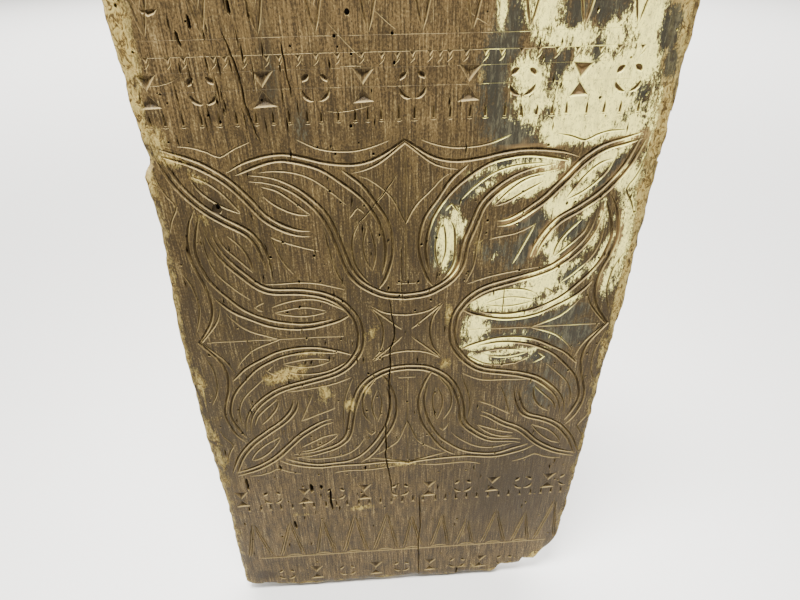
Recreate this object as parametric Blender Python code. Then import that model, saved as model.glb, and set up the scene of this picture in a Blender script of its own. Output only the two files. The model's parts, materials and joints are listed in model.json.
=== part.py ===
"""Carved wall panel: one old hardwood plank with a large knot of double grooves and rows of chip carving.

The board stands upright as it hangs. X runs to the right, Z up, and the carved face looks along -Y.
The flat back lies in the plane y = 0, and the origin is on it, behind the middle of the knot.
"""
import math

import bmesh
import bpy
from mathutils import Matrix

MM = 0.001

# The board
BOARD_WIDTH = 530 * MM
BOARD_HEIGHT = 1000 * MM
BOARD_THICKNESS = 28 * MM

# The square knot in the middle of the board
KNOT_HALF_WIDTH = 242 * MM
KNOT_HALF_HEIGHT = 231 * MM

# The gouge: every groove is a V with walls at 45 degrees, cut by a bar whose middle runs just off the face
GOUGE_LIFT = 0.5 * MM
BAND_GROOVE = 5.0 * MM
LEAF_GROOVE = 3.6 * MM
FINE_GROOVE = 3.0 * MM
SPINE_GROOVE = 2.3 * MM
BAND_SPACING = 6.8 * MM

# Chip carved rows: heights from the middle of the knot, pitches, and where a ring stands nearest the middle
UPPER_CHIP_ROW = 284 * MM
UPPER_CHIP_PITCH = 49.6 * MM
UPPER_CHIP_START = 14 * MM
LOWER_CHIP_ROW = -283 * MM
FOOT_CHIP_ROW = -473 * MM
LOWER_CHIP_PITCH = 45 * MM
LOWER_CHIP_START = -15 * MM
CHIP_TALL = 29 * MM
CHIP_WIDE = 20 * MM
CHIP_DEPTH = 3.2 * MM
RING_RADIUS = 12.5 * MM
RING_GROOVE = 5.2 * MM
RING_ARC_DEGREES = 64

# Rows of short ticks, each on one ruled line, and where a tick stands nearest the middle
TICK_PITCH = 15.7 * MM
TICK_LENGTH = 13 * MM
TICK_GROOVE = 2.6 * MM
RULED_GROOVE = 1.4 * MM
UPPER_TICK_LINE = 251 * MM
UPPER_TICK_START = -5 * MM
TEETH_LINE = 314 * MM
TEETH_START = 8 * MM
LOWER_TICK_LINE = -311 * MM
LOWER_TICK_START = 2 * MM

# Long narrow triangles of double lines, with their points towards the knot
UPPER_TRIANGLE_POINT = 329 * MM
UPPER_TRIANGLE_PITCH = 48.5 * MM
UPPER_TRIANGLE_START = 17 * MM
LOWER_TRIANGLE_POINT = -336 * MM
LOWER_TRIANGLE_PITCH = 45.5 * MM
LOWER_TRIANGLE_START = 3 * MM
TRIANGLE_HALF_BASE = 20 * MM
TRIANGLE_HEIGHT = 90 * MM
TRIANGLE_LINE_GAP = 4.6 * MM
TRIANGLE_GROOVE = 2.2 * MM
SCALLOP_WIDTH = 27 * MM
SCALLOP_RISE = 6 * MM

# How far the marks of a row and the knot's lines waver, as handwork does
ROW_WAVER = 0.7 * MM
LINE_WAVER = 0.4 * MM

# Bare wood left at the board's sides, and the share of the half width that the broken corner spares
EDGE_MARGIN = 18 * MM
SPARED_BY_BREAK = 0.70

# Age: two drying cracks and one knot hole
CRACK_WIDTH = 2.4 * MM
KNOT_HOLE_RADIUS = 6 * MM
KNOT_HOLE_DEPTH = 6 * MM

# The worn outline. Sides are (share of the half height, inset), the foot is (share of the half width, inset).
LEFT_SIDE = ((1.00, 9), (0.72, 10), (0.50, 14), (0.44, 16), (0.41, 8), (0.30, 10), (0.04, 1),
             (-0.32, -1), (-0.58, 3), (-0.97, 0))
RIGHT_SIDE = ((-0.80, 25), (-0.72, 23), (-0.56, 19), (-0.15, 13), (0.06, 5), (0.34, 4), (0.54, 1),
              (0.72, -1), (1.00, -1))
FOOT_EDGE = ((-0.97, 3), (-0.75, -2), (-0.38, -6), (0.00, -1), (0.10, -5), (0.23, -8), (0.53, -4),
             (0.56, 3), (0.57, 14), (0.67, 11), (0.70, 10), (0.71, 24), (0.76, 22), (0.79, 24),
             (0.81, 42), (0.87, 62), (0.90, 80))

# Knot lines as (across, up) shares of the knot's half sizes. Each is drawn for one eighth of the knot and
# repeated over the diagonal and both middles. A line that starts or ends on a middle is joined there.
CORNER_BAND = ((.99, .995), (.86, .945), (.775, .89), (.72, .84), (.665, .77), (.61, .69), (.545, .637),
               (.47, .60), (.41, .588))
RIM_OUTER = ((.736, .89), (.66, .935), (.57, .962), (.49, .968), (.41, .95), (.33, .925), (.24, .912),
             (.17, .918), (.10, .945), (0, 1.01))
RIM_INNER = ((.70, .88), (.62, .915), (.54, .938), (.47, .936), (.36, .90), (.256, .823), (.186, .757),
             (.143, .69), (.108, .606), (.090, .48), (.11, .35))
RIM_SECOND = ((.27, .895), (.186, .823), (.124, .727), (.083, .65), (.062, .563), (.060, .476),
              (.072, .41), (.10, .325), (.132, .268))
BRACKET = ((.227, .87), (.165, .887), (.103, .918), (0, 1.0))
TIP_ARCH = ((.2, .86), (.157, .844), (.116, .814), (.083, .784), (.048, .736), (0, .62))
U_BAND = ((.66, .866), (.578, .857), (.504, .83), (.434, .78), (.364, .70), (.325, .62), (.293, .51),
          (.255, .385), (.21, .315), (.155, .27), (.09, .238), (0, .226))
LOBE_LEAF_IN = ((.165, .63), (.142, .54), (.137, .46), (.155, .372))
LOBE_LEAF_OUT = ((.165, .63), (.188, .54), (.186, .46), (.155, .372))
LOBE_SIDE = ((.2, .636), (.232, .57), (.24, .485), (.22, .39), (.15, .28))
LOBE_CHEVRON = ((.245, .655), (.204, .71), (.175, .672))
CORNER_LEAF = ((.885, .885), (.83, .862), (.78, .82), (.74, .77), (.70, .70))
LOOP_LEAF_UPPER = ((.606, .826), (.544, .808), (.496, .77), (.454, .73), (.405, .68))
LOOP_LEAF_LOWER = ((.606, .79), (.558, .743), (.503, .706), (.454, .688), (.405, .68))
LOOP_ECHO = ((.61, .887), (.544, .895), (.467, .887), (.39, .855), (.31, .787), (.248, .72))
FIELD_TOP = ((.59, .585), (.504, .545), (.38, .494))
FIELD_SIDE = ((.36, .64), (.350, .55), (.322, .4), (.278, .281))
OUTER_CORNER = ((.92, 1.017), (.85, 1.01), (.79, .987), (.745, .965), (.68, 1.0), (.61, 1.025))
OUTER_SWAG = ((.44, 1.03), (.34, .984), (.24, .97), (.157, .98), (.054, 1.013))
SPINE = ((0, .97), (0, .31))
SPINE_BAR = ((.045, .30), (0, .30))
STAR_SIDE = ((.175, .18), (.11, .137), (.05, .12), (0, .115))
STAR_CUT = ((.16, .16), (.02, .02))

# The carver's hand: places (across, up, reach) where the lines stray by (across, up), in millimetres on a
# knot of this half width
STRAYS_HALF_WIDTH = 242 * MM
STRAYS = ((-58, -214, 38, 0, -12), (52, -212, 38, 0, -9), (0, -180, 25, 0, -10), (-90, -172, 30, 8, -5),
          (-138, -160, 26, 4, -4), (-168, -136, 24, 0, 5), (128, -150, 28, -3, -9), (162, -138, 28, -4, -5),
          (80, -155, 25, -7, 0), (142, -196, 22, 0, 7), (90, -82, 28, 0, -6), (130, 165, 28, -3, 8),
          (190, 212, 30, 0, 5), (86, 166, 26, -6, 0), (68, 118, 24, -5, 0), (96, 118, 18, 0, 6),
          (125, 224, 34, 0, -4), (16, 186, 22, 3, -5), (-150, 76, 26, -3, -7), (-228, 115, 40, 3, 0),
          (-134, 108, 28, -7, 0))

# Lines of the drying cracks and the place of the knot hole, in millimetres
LONG_CRACK = ((-20, 54), (-14, -2), (-20, -48), (-23, -118), (-29, -187), (-29, -229), (-24, -299))
FOOT_CRACK = ((17, -322), (18, -370), (15, -420), (15, -490))
KNOT_HOLE = (-193, 168)


def clear_scene():
    """Remove what the file opened with."""
    for obj in list(bpy.data.objects):
        bpy.data.objects.remove(obj, do_unlink=True)


def new_collection(name):
    """A collection linked to the scene."""
    collection = bpy.data.collections.new(name)
    bpy.context.scene.collection.children.link(collection)
    return collection


def wood_material():
    """Dry brown hardwood, dulled by age."""
    material = bpy.data.materials.new("aged_wood")
    material.use_nodes = True
    shader = material.node_tree.nodes["Principled BSDF"]
    shader.inputs["Base Color"].default_value = (0.20, 0.145, 0.075, 1)
    shader.inputs["Roughness"].default_value = 0.55
    shader.inputs["Metallic"].default_value = 0.0
    return material


def uneven(i):
    """How far the i-th mark of a row strays."""
    return ROW_WAVER * math.sin(2.4 * i + 0.5)


def astray(x, z):
    """A point of the knot, moved by the carver's hand."""
    scale = KNOT_HALF_WIDTH / STRAYS_HALF_WIDTH
    moved_x = x + LINE_WAVER * math.sin(9 * z / KNOT_HALF_HEIGHT + 1)
    moved_z = z + LINE_WAVER * math.sin(8 * x / KNOT_HALF_WIDTH + 2)
    for across, up, reach, shift_x, shift_z in STRAYS:
        away = ((x - across * MM * scale) ** 2 + (z - up * MM * scale) ** 2) / (reach * MM * scale) ** 2
        weight = math.exp(-away) * MM * scale
        moved_x += shift_x * weight
        moved_z += shift_z * weight
    return moved_x, moved_z


def beside(path, gap):
    """The path moved sideways by the gap, to the left of its direction."""
    moved = []
    for i, (x, z) in enumerate(path):
        back = path[max(i - 1, 0)]
        ahead = path[min(i + 1, len(path) - 1)]
        run = (ahead[0] - back[0], ahead[1] - back[1])
        length = math.hypot(*run)
        moved.append((x - run[1] / length * gap, z + run[0] / length * gap))
    return moved


def knot_paths(shares):
    """All copies of one line of the knot, in metres. Halves that meet on a middle come back as one path."""
    joined = shares[-1][0] == 0 and shares[0][0] != 0
    on_diagonal = all(abs(p - q) < 1e-9 for p, q in shares)
    on_middle = all(p == 0 for p, q in shares)
    paths = []
    for swapped in ((False,) if on_diagonal else (False, True)):
        for side in (1, -1):
            if joined:
                line = list(shares) + [(-p, q) for p, q in reversed(shares[:-1])]
                copies = [[(p, side * q) for p, q in line]]
            elif on_middle:
                copies = [[(p, side * q) for p, q in shares]]
            else:
                copies = [[(hand * p, side * q) for p, q in shares] for hand in (1, -1)]
            for line in copies:
                if swapped:
                    line = [(q, p) for p, q in line]
                paths.append([astray(p * KNOT_HALF_WIDTH, q * KNOT_HALF_HEIGHT) for p, q in line])
    return paths


def groove_cutter(name, paths, width, cutters, fade=0.22, blunt=()):
    """Bars that cut V grooves of this width along the paths. They fade out at the ends that aren't blunt."""
    curve = bpy.data.curves.new(name, "CURVE")
    curve.dimensions = "3D"
    curve.twist_mode = "Z_UP"
    curve.bevel_depth = 1.0
    curve.bevel_resolution = 0
    curve.use_fill_caps = True
    full = width / 2 + GOUGE_LIFT
    clear = 0.6 * GOUGE_LIFT
    for path in paths:
        spline = curve.splines.new("POLY")
        spline.points.add(len(path) - 1)
        lengths = [0.0]
        for a, b in zip(path, path[1:]):
            lengths.append(lengths[-1] + math.dist(a, b))
        for point, (x, z), reached in zip(spline.points, path, lengths):
            share = reached / lengths[-1]
            from_start = 1 if "start" in blunt else share
            from_end = 1 if "end" in blunt else 1 - share
            strength = min(1.0, from_start / fade, from_end / fade)
            point.co = (x, z, 0, 1)
            point.radius = clear + (full - clear) * math.sqrt(strength)
    mesh_cutter(name, curve, cutters)


def mesh_cutter(name, curve, cutters):
    """Turn a flat curve into a closed mesh that stands just off the carved face."""
    holder = bpy.data.objects.new(name + "_line", curve)
    bpy.context.scene.collection.objects.link(holder)
    holder.rotation_euler = (math.pi / 2, 0, 0)
    holder.location = (0, -BOARD_THICKNESS - GOUGE_LIFT, 0)
    bpy.context.view_layer.update()
    mesh = bpy.data.meshes.new_from_object(holder.evaluated_get(bpy.context.evaluated_depsgraph_get()))
    weld(mesh)
    mesh.shade_flat()
    cutter = bpy.data.objects.new(name, mesh)
    cutter.matrix_world = holder.matrix_world
    bpy.data.objects.remove(holder, do_unlink=True)
    hide_cutter(cutter, cutters)


def weld(mesh):
    """Join a curve's loose caps to its walls."""
    bm = bmesh.new()
    bm.from_mesh(mesh)
    bmesh.ops.remove_doubles(bm, verts=bm.verts, dist=0.00001)
    bmesh.ops.recalc_face_normals(bm, faces=bm.faces)
    bm.to_mesh(mesh)
    bm.free()


def hide_cutter(cutter, cutters):
    """Show a cutter as wire and keep it out of renders."""
    cutters.objects.link(cutter)
    cutter.hide_render = True
    cutter.display_type = "WIRE"


def chip_cutter(name, chips, way, cutters):
    """Three sided pits at (x, z), deepest near their flat side. They point up where way is 1, down at -1."""
    grown = 1 + GOUGE_LIFT / CHIP_DEPTH
    wide = CHIP_WIDE * grown / math.sqrt(3)
    tall = CHIP_TALL / 2 * grown / 1.5
    turn = Matrix.Rotation(math.pi if way > 0 else 0, 4, "Y") @ Matrix.Rotation(-math.pi / 2, 4, "X")
    out = (CHIP_DEPTH - GOUGE_LIFT) / 2 - BOARD_THICKNESS
    bm = bmesh.new()
    for x, z in chips:
        place = Matrix.Translation((x, out, z - way * tall / 4))
        bmesh.ops.create_cone(bm, cap_ends=True, segments=3, radius1=1, radius2=0,
                              depth=CHIP_DEPTH + GOUGE_LIFT,
                              matrix=place @ turn @ Matrix.Diagonal((wide, tall, 1, 1)))
    mesh = bpy.data.meshes.new(name)
    bm.to_mesh(mesh)
    bm.free()
    hide_cutter(bpy.data.objects.new(name, mesh), cutters)


def board_outline():
    """The board's worn outline, anticlockwise seen from the front, as (x, z)."""
    half_width = BOARD_WIDTH / 2
    half_height = BOARD_HEIGHT / 2
    left = [(-half_width + inset * MM, share * half_height) for share, inset in LEFT_SIDE]
    foot = [(share * half_width, -half_height + inset * MM) for share, inset in FOOT_EDGE]
    right = [(half_width - inset * MM, share * half_height) for share, inset in RIGHT_SIDE]
    return left + foot + right


def board_object(parts):
    """The plank itself: its outline as a filled flat curve, extruded to the board's thickness."""
    curve = bpy.data.curves.new("board_outline", "CURVE")
    curve.dimensions = "2D"
    curve.fill_mode = "BOTH"
    curve.extrude = BOARD_THICKNESS / 2
    outline = board_outline()
    spline = curve.splines.new("POLY")
    spline.points.add(len(outline) - 1)
    spline.use_cyclic_u = True
    for point, (x, z) in zip(spline.points, outline):
        point.co = (x, z, 0, 1)
    holder = bpy.data.objects.new("board_line", curve)
    bpy.context.scene.collection.objects.link(holder)
    holder.rotation_euler = (math.pi / 2, 0, 0)
    holder.location = (0, -BOARD_THICKNESS / 2, 0)
    bpy.context.view_layer.update()
    mesh = bpy.data.meshes.new_from_object(holder.evaluated_get(bpy.context.evaluated_depsgraph_get()))
    weld(mesh)
    mesh.shade_flat()
    board = bpy.data.objects.new("carved_panel", mesh)
    board.matrix_world = holder.matrix_world
    bpy.data.objects.remove(holder, do_unlink=True)
    parts.objects.link(board)
    board.data.materials.clear()
    board.data.materials.append(wood_material())
    return board


def knot_cutters(cutters):
    """The interlaced knot, line by line."""
    for name, shares in (("corner_band", CORNER_BAND), ("u_band", U_BAND)):
        for strand, way in (("near", 0.5), ("far", -0.5)):
            paths = [beside(path, way * BAND_SPACING) for path in knot_paths(shares)]
            groove_cutter(name + "_" + strand, paths, BAND_GROOVE, cutters)
    for name, shares in (("rim_outer", RIM_OUTER), ("rim_inner", RIM_INNER), ("rim_second", RIM_SECOND)):
        groove_cutter(name, knot_paths(shares), BAND_GROOVE, cutters, fade=0.08)
    for name, shares in (("bracket", BRACKET), ("corner_leaf", CORNER_LEAF), ("star_side", STAR_SIDE),
                         ("loop_leaf_upper", LOOP_LEAF_UPPER), ("loop_leaf_lower", LOOP_LEAF_LOWER),
                         ("lobe_side", LOBE_SIDE)):
        groove_cutter(name, knot_paths(shares), LEAF_GROOVE, cutters)
    for name, shares in (("tip_arch", TIP_ARCH), ("lobe_leaf_in", LOBE_LEAF_IN),
                         ("lobe_leaf_out", LOBE_LEAF_OUT), ("lobe_chevron", LOBE_CHEVRON),
                         ("loop_echo", LOOP_ECHO), ("field_top", FIELD_TOP), ("field_side", FIELD_SIDE),
                         ("outer_corner", OUTER_CORNER), ("outer_swag", OUTER_SWAG)):
        groove_cutter(name, knot_paths(shares), FINE_GROOVE, cutters)
    for name, shares in (("spine", SPINE), ("spine_bar", SPINE_BAR)):
        groove_cutter(name, knot_paths(shares), SPINE_GROOVE, cutters, blunt=("start", "end"))
    groove_cutter("star_cut", knot_paths(STAR_CUT), BAND_GROOVE, cutters, blunt=("start",))


def row_places(pitch, start):
    """The (index, x) of each mark in a row, a pitch apart, as far as the bare wood at the board's sides."""
    reach = BOARD_WIDTH / 2 - EDGE_MARGIN
    count = int(BOARD_WIDTH / pitch)
    places = [(i, start + i * pitch) for i in range(-count, count + 1)]
    return [(i, x) for i, x in places if abs(x) < reach]


def chip_row(name, height, pitch, start, spared, cutters):
    """A row of hourglasses and rings, turn about, as far right as the spared share of the half width."""
    hourglasses = []
    arcs = []
    for i, x in row_places(pitch, start):
        if x > spared * BOARD_WIDTH / 2:
            continue
        if i % 2:
            hourglasses.append((x, height + uneven(i)))
            continue
        middle = height + uneven(i)
        for corner in (45, 135, 225, 315):
            turns = [math.radians(corner + share * RING_ARC_DEGREES) for share in (-0.5, 0, 0.5)]
            arcs.append([(x + RING_RADIUS * math.cos(turn), middle + RING_RADIUS * math.sin(turn))
                         for turn in turns])
    for half, way in (("tops", 1), ("feet", -1)):
        chips = [(x, z + way * CHIP_TALL / 4) for x, z in hourglasses]
        chip_cutter(name + "_" + half, chips, -way, cutters)
    groove_cutter(name + "_rings", arcs, RING_GROOVE, cutters, fade=0.5)


def ruled_line(name, height, width, cutters):
    """A straight groove across the board, short of its sides."""
    end = BOARD_WIDTH / 2 - EDGE_MARGIN
    groove_cutter(name, [[(-end, height), (end, height)]], width, cutters, blunt=("start", "end"))


def tick_row(name, line, way, start, cutters):
    """A ruled line with ticks standing on it, or hanging from it, that fade away from it."""
    ruled_line(name + "_line", line, RULED_GROOVE, cutters)
    foot = line + way * (RULED_GROOVE + ROW_WAVER)
    tip = line + way * TICK_LENGTH
    paths = [[(x, foot + uneven(i)), (x + uneven(3 * i), tip + uneven(2 * i))]
             for i, x in row_places(TICK_PITCH, start)]
    groove_cutter(name + "_marks", paths, TICK_GROOVE, cutters, blunt=("start",))


def triangle_row(name, point, way, pitch, start, cutters):
    """Long triangles of double lines on a base line. The lower ones have scallops between their feet."""
    base = point + way * TRIANGLE_HEIGHT
    clear = base - way * (FINE_GROOVE + ROW_WAVER)
    steep = TRIANGLE_HEIGHT / TRIANGLE_HALF_BASE
    outer = []
    inner = []
    scallops = []
    for i, x in row_places(pitch, start):
        for lines, half in ((outer, TRIANGLE_HALF_BASE), (inner, TRIANGLE_HALF_BASE - TRIANGLE_LINE_GAP)):
            left_foot = (x - half, clear + uneven(i))
            right_foot = (x + half, clear + uneven(i + half / MM))
            lines.append([left_foot, (x, base - way * half * steep + uneven(2 * i)), right_foot])
        scallops.append([(x - SCALLOP_WIDTH / 2, clear), (x, base - way * SCALLOP_RISE),
                         (x + SCALLOP_WIDTH / 2, clear + uneven(i))])
    groove_cutter(name + "_outer", outer, TRIANGLE_GROOVE, cutters, blunt=("start", "end"))
    groove_cutter(name + "_inner", inner, TRIANGLE_GROOVE, cutters, blunt=("start", "end"))
    if way < 0:
        groove_cutter(name + "_scallops", scallops, LEAF_GROOVE, cutters, fade=0.5)
    ruled_line(name + "_base", base, FINE_GROOVE, cutters)


def border_cutters(cutters):
    """The chip carved rows above and below the knot."""
    chip_row("upper_row", UPPER_CHIP_ROW, UPPER_CHIP_PITCH, UPPER_CHIP_START, 1, cutters)
    chip_row("lower_row", LOWER_CHIP_ROW, LOWER_CHIP_PITCH, LOWER_CHIP_START, 1, cutters)
    chip_row("foot_row", FOOT_CHIP_ROW, LOWER_CHIP_PITCH, LOWER_CHIP_START, SPARED_BY_BREAK, cutters)
    tick_row("upper_ticks", UPPER_TICK_LINE, 1, UPPER_TICK_START, cutters)
    tick_row("teeth", TEETH_LINE, -1, TEETH_START, cutters)
    tick_row("lower_ticks", LOWER_TICK_LINE, 1, LOWER_TICK_START, cutters)
    triangle_row("lower_triangles", LOWER_TRIANGLE_POINT, -1, LOWER_TRIANGLE_PITCH, LOWER_TRIANGLE_START,
                 cutters)
    triangle_row("upper_triangles", UPPER_TRIANGLE_POINT, 1, UPPER_TRIANGLE_PITCH, UPPER_TRIANGLE_START,
                 cutters)


def age_cutters(cutters):
    """Two drying cracks and the knot hole."""
    for name, line in (("long_crack", LONG_CRACK), ("foot_crack", FOOT_CRACK)):
        groove_cutter(name, [[(x * MM, z * MM) for x, z in line]], CRACK_WIDTH, cutters)
    bm = bmesh.new()
    deep = KNOT_HOLE_DEPTH + GOUGE_LIFT
    bmesh.ops.create_cone(bm, cap_ends=True, segments=10, radius1=KNOT_HOLE_RADIUS,
                          radius2=0.5 * KNOT_HOLE_RADIUS, depth=deep)
    mesh = bpy.data.meshes.new("knot_hole")
    bm.to_mesh(mesh)
    bm.free()
    cutter = bpy.data.objects.new("knot_hole", mesh)
    cutter.rotation_euler = (-math.pi / 2, 0, 0)
    cutter.location = (KNOT_HOLE[0] * MM, -BOARD_THICKNESS - GOUGE_LIFT + deep / 2, KNOT_HOLE[1] * MM)
    hide_cutter(cutter, cutters)


def carve(board, cutters):
    """Cut a collection's grooves and chips out of the board."""
    cut = board.modifiers.new(cutters.name, "BOOLEAN")
    cut.operation = "DIFFERENCE"
    cut.operand_type = "COLLECTION"
    cut.collection = cutters
    cut.solver = "EXACT"


def main():
    clear_scene()
    board = board_object(new_collection("carved_wall_panel"))
    for name, make in (("border_cutters", border_cutters), ("knot_cutters", knot_cutters),
                       ("age_cutters", age_cutters)):
        cutters = new_collection(name)
        make(cutters)
        carve(board, cutters)


main()
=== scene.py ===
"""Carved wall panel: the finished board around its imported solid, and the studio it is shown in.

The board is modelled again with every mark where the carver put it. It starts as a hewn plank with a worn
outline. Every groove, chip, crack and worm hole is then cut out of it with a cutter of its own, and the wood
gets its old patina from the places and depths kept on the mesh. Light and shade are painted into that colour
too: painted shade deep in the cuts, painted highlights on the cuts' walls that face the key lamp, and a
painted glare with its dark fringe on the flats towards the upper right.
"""
import json
import math
import random

import bmesh
import bpy
from bpy.props import FloatProperty, FloatVectorProperty, IntProperty, PointerProperty
from mathutils import Matrix, Vector, noise
from mathutils.kdtree import KDTree

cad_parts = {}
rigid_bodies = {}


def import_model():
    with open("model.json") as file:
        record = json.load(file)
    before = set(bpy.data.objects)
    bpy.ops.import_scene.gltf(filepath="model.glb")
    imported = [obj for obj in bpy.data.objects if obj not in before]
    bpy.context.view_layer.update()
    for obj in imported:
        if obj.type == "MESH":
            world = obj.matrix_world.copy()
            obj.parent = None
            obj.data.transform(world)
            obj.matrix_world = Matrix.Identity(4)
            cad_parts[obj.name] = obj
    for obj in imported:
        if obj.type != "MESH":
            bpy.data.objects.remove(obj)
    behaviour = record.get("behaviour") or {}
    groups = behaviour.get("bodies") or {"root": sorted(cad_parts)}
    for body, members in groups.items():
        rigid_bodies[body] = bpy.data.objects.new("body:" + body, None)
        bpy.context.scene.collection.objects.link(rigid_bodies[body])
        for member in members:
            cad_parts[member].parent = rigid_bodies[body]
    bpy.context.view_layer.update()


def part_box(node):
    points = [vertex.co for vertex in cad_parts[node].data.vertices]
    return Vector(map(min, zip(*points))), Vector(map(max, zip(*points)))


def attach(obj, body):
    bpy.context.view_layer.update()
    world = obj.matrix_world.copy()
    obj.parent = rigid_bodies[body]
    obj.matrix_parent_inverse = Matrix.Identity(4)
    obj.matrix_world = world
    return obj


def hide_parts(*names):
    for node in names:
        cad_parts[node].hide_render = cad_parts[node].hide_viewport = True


bl_info = {
    "name": "Carved wall panel",
    "version": (1, 0, 0),
    "blender": (4, 5, 0),
    "location": "3D View > Sidebar > Carved panel",
    "description": "Builds an old carved plank and the studio it is shown in",
    "category": "Add Mesh",
}

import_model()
PANEL_NODE = "carved_panel"
PANEL_LOW, PANEL_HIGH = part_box(PANEL_NODE)

MM = 0.001

# The worn outline. Sides are (height, place across), the foot is (across, height), in millimetres.
LEFT_SIDE = ((-500, -262), (-485, -265), (-440, -266), (-290, -262), (-160, -266), (20, -264), (150, -255),
             (200, -257), (207, -257), (216, -250), (222, -249), (250, -251), (360, -255), (500, -256))
RIGHT_SIDE = ((-500, 240), (-400, 240), (-360, 242), (-280, 246), (-75, 252), (30, 260), (170, 261),
              (270, 264), (360, 266), (500, 266))
FOOT_EDGE = ((-265, -488), (-257, -497), (-199, -502), (-101, -506), (0, -501), (26, -505), (61, -508),
             (140, -504), (147, -497), (151, -486), (178, -489), (186, -490), (188, -477), (201, -478),
             (209, -476), (213, -464), (219, -452), (231, -438), (236, -424), (241, -400))

# The square knot, in shares of its half sizes (across, up). Each line is drawn for one eighth of the knot
# and repeated over the diagonal and both middles. A line that ends on a middle is joined there.
KNOT_HALF_WIDTH = 242 * MM
KNOT_HALF_HEIGHT = 231 * MM
CORNER_BAND = ((.99, .995), (.86, .945), (.775, .89), (.72, .84), (.665, .77), (.61, .69), (.545, .637),
               (.47, .60), (.41, .588))
RIM_OUTER = ((.736, .89), (.66, .935), (.57, .962), (.49, .968), (.41, .95), (.33, .925), (.24, .912),
             (.17, .918), (.10, .945), (0, 1.01))
RIM_INNER = ((.70, .88), (.62, .915), (.54, .938), (.47, .936), (.36, .90), (.256, .823), (.186, .757),
             (.143, .69), (.108, .606), (.090, .48), (.11, .35))
RIM_SECOND = ((.27, .895), (.186, .823), (.124, .727), (.083, .65), (.062, .563), (.060, .476),
              (.072, .41), (.10, .325), (.132, .268))
BRACKET = ((.227, .87), (.165, .887), (.103, .918), (0, 1.0))
TIP_ARCH = ((.2, .86), (.157, .844), (.116, .814), (.083, .784), (.048, .736), (0, .62))
U_BAND = ((.66, .866), (.578, .857), (.504, .83), (.434, .78), (.364, .70), (.325, .62), (.293, .51),
          (.255, .385), (.21, .315), (.155, .27), (.09, .238), (0, .226))
LOBE_LEAF_IN = ((.165, .63), (.142, .54), (.137, .46), (.155, .372))
LOBE_LEAF_OUT = ((.165, .63), (.188, .54), (.186, .46), (.155, .372))
LOBE_SIDE = ((.2, .636), (.232, .57), (.24, .485), (.22, .39), (.15, .28))
LOBE_CHEVRON = ((.245, .655), (.204, .71), (.175, .672))
CORNER_LEAF = ((.885, .885), (.83, .862), (.78, .82), (.74, .77), (.70, .70))
LOOP_LEAF_UPPER = ((.606, .826), (.544, .808), (.496, .77), (.454, .73), (.405, .68))
LOOP_LEAF_LOWER = ((.606, .79), (.558, .743), (.503, .706), (.454, .688), (.405, .68))
LOOP_ECHO = ((.61, .887), (.544, .895), (.467, .887), (.39, .855), (.31, .787), (.248, .72))
FIELD_TOP = ((.59, .585), (.504, .545), (.38, .494))
FIELD_SIDE = ((.36, .64), (.350, .55), (.322, .4), (.278, .281))
OUTER_CORNER = ((.92, 1.017), (.85, 1.01), (.79, .987), (.745, .965), (.68, 1.0), (.61, 1.025))
OUTER_SWAG = ((.44, 1.03), (.34, .984), (.24, .97), (.157, .98), (.054, 1.013))
SPINE = ((0, .97), (0, .31))
SPINE_BAR = ((.045, .30), (0, .30))
STAR_SIDE = ((.175, .18), (.11, .137), (.05, .12), (0, .115))
STAR_CUT = ((.16, .16), (.02, .02))

# The carver's hand: places (across, up, reach) where the knot's lines stray by (across, up), in millimetres
STRAYS = ((-58, -214, 38, 0, -12), (52, -212, 38, 0, -9), (0, -180, 25, 0, -10), (-90, -172, 30, 8, -5),
          (-138, -160, 26, 4, -4), (-168, -136, 24, 0, 5), (128, -150, 28, -3, -9), (162, -138, 28, -4, -5),
          (80, -155, 25, -7, 0), (142, -196, 22, 0, 7), (90, -82, 28, 0, -6), (130, 165, 28, -3, 8),
          (190, 212, 30, 0, 5), (86, 166, 26, -6, 0), (68, 118, 24, -5, 0), (96, 118, 18, 0, 6),
          (125, 224, 34, 0, -4), (16, 186, 22, 3, -5), (-150, 76, 26, -3, -7), (-228, 115, 40, 3, 0),
          (-134, 108, 28, -7, 0), (0, -236, 26, 0, 8))

# The borders. Every mark's place across the board, and the rows' heights, in millimetres.
UPPER_ROW = 285
UPPER_HOURGLASSES = (-234, -130, -38, 61, 167)
UPPER_RINGS = (-185, -82, 8, 112, 213)
UPPER_TICK_LINE = 252
UPPER_TICKS = (-238, -225, -208, -191, -174, -158, -140, -124, -109, -92, -79, -63, -47, -35, -22, -5, 10,
               28, 44, 63, 78, 97, 113, 128, 143, 157, 177, 194, 210, 228)
TEETH_LINE = 314
TEETH = (-229, -210, -196, -170, -160, -143, -123, -112, -95, -79, -60, -38, -20, -6, 8, 24, 33, 42, 57, 75,
         90, 108, 124, 141, 160, 182, 199, 221)
LOWER_ROW = -283
LOWER_HOURGLASSES = (-240, -150, -64, 30, 124, 207)
LOWER_RINGS = (-196, -105, -12, 80, 170, 236)
LOWER_TICK_LINE = -311
LOWER_TICKS = (-233, -216, -202, -187, -170, -154, -139, -121, -106, -90, -73, -58, -41, -25, -9, 7, 22, 40,
               55, 71, 87, 102, 119, 135, 150, 167, 183, 199, 214, 229)
FOOT_ROW = -473
FOOT_HOURGLASSES = (-150, -54, 34, 117)
FOOT_RINGS = (-198, -100, -12, 79, 157)

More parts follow.
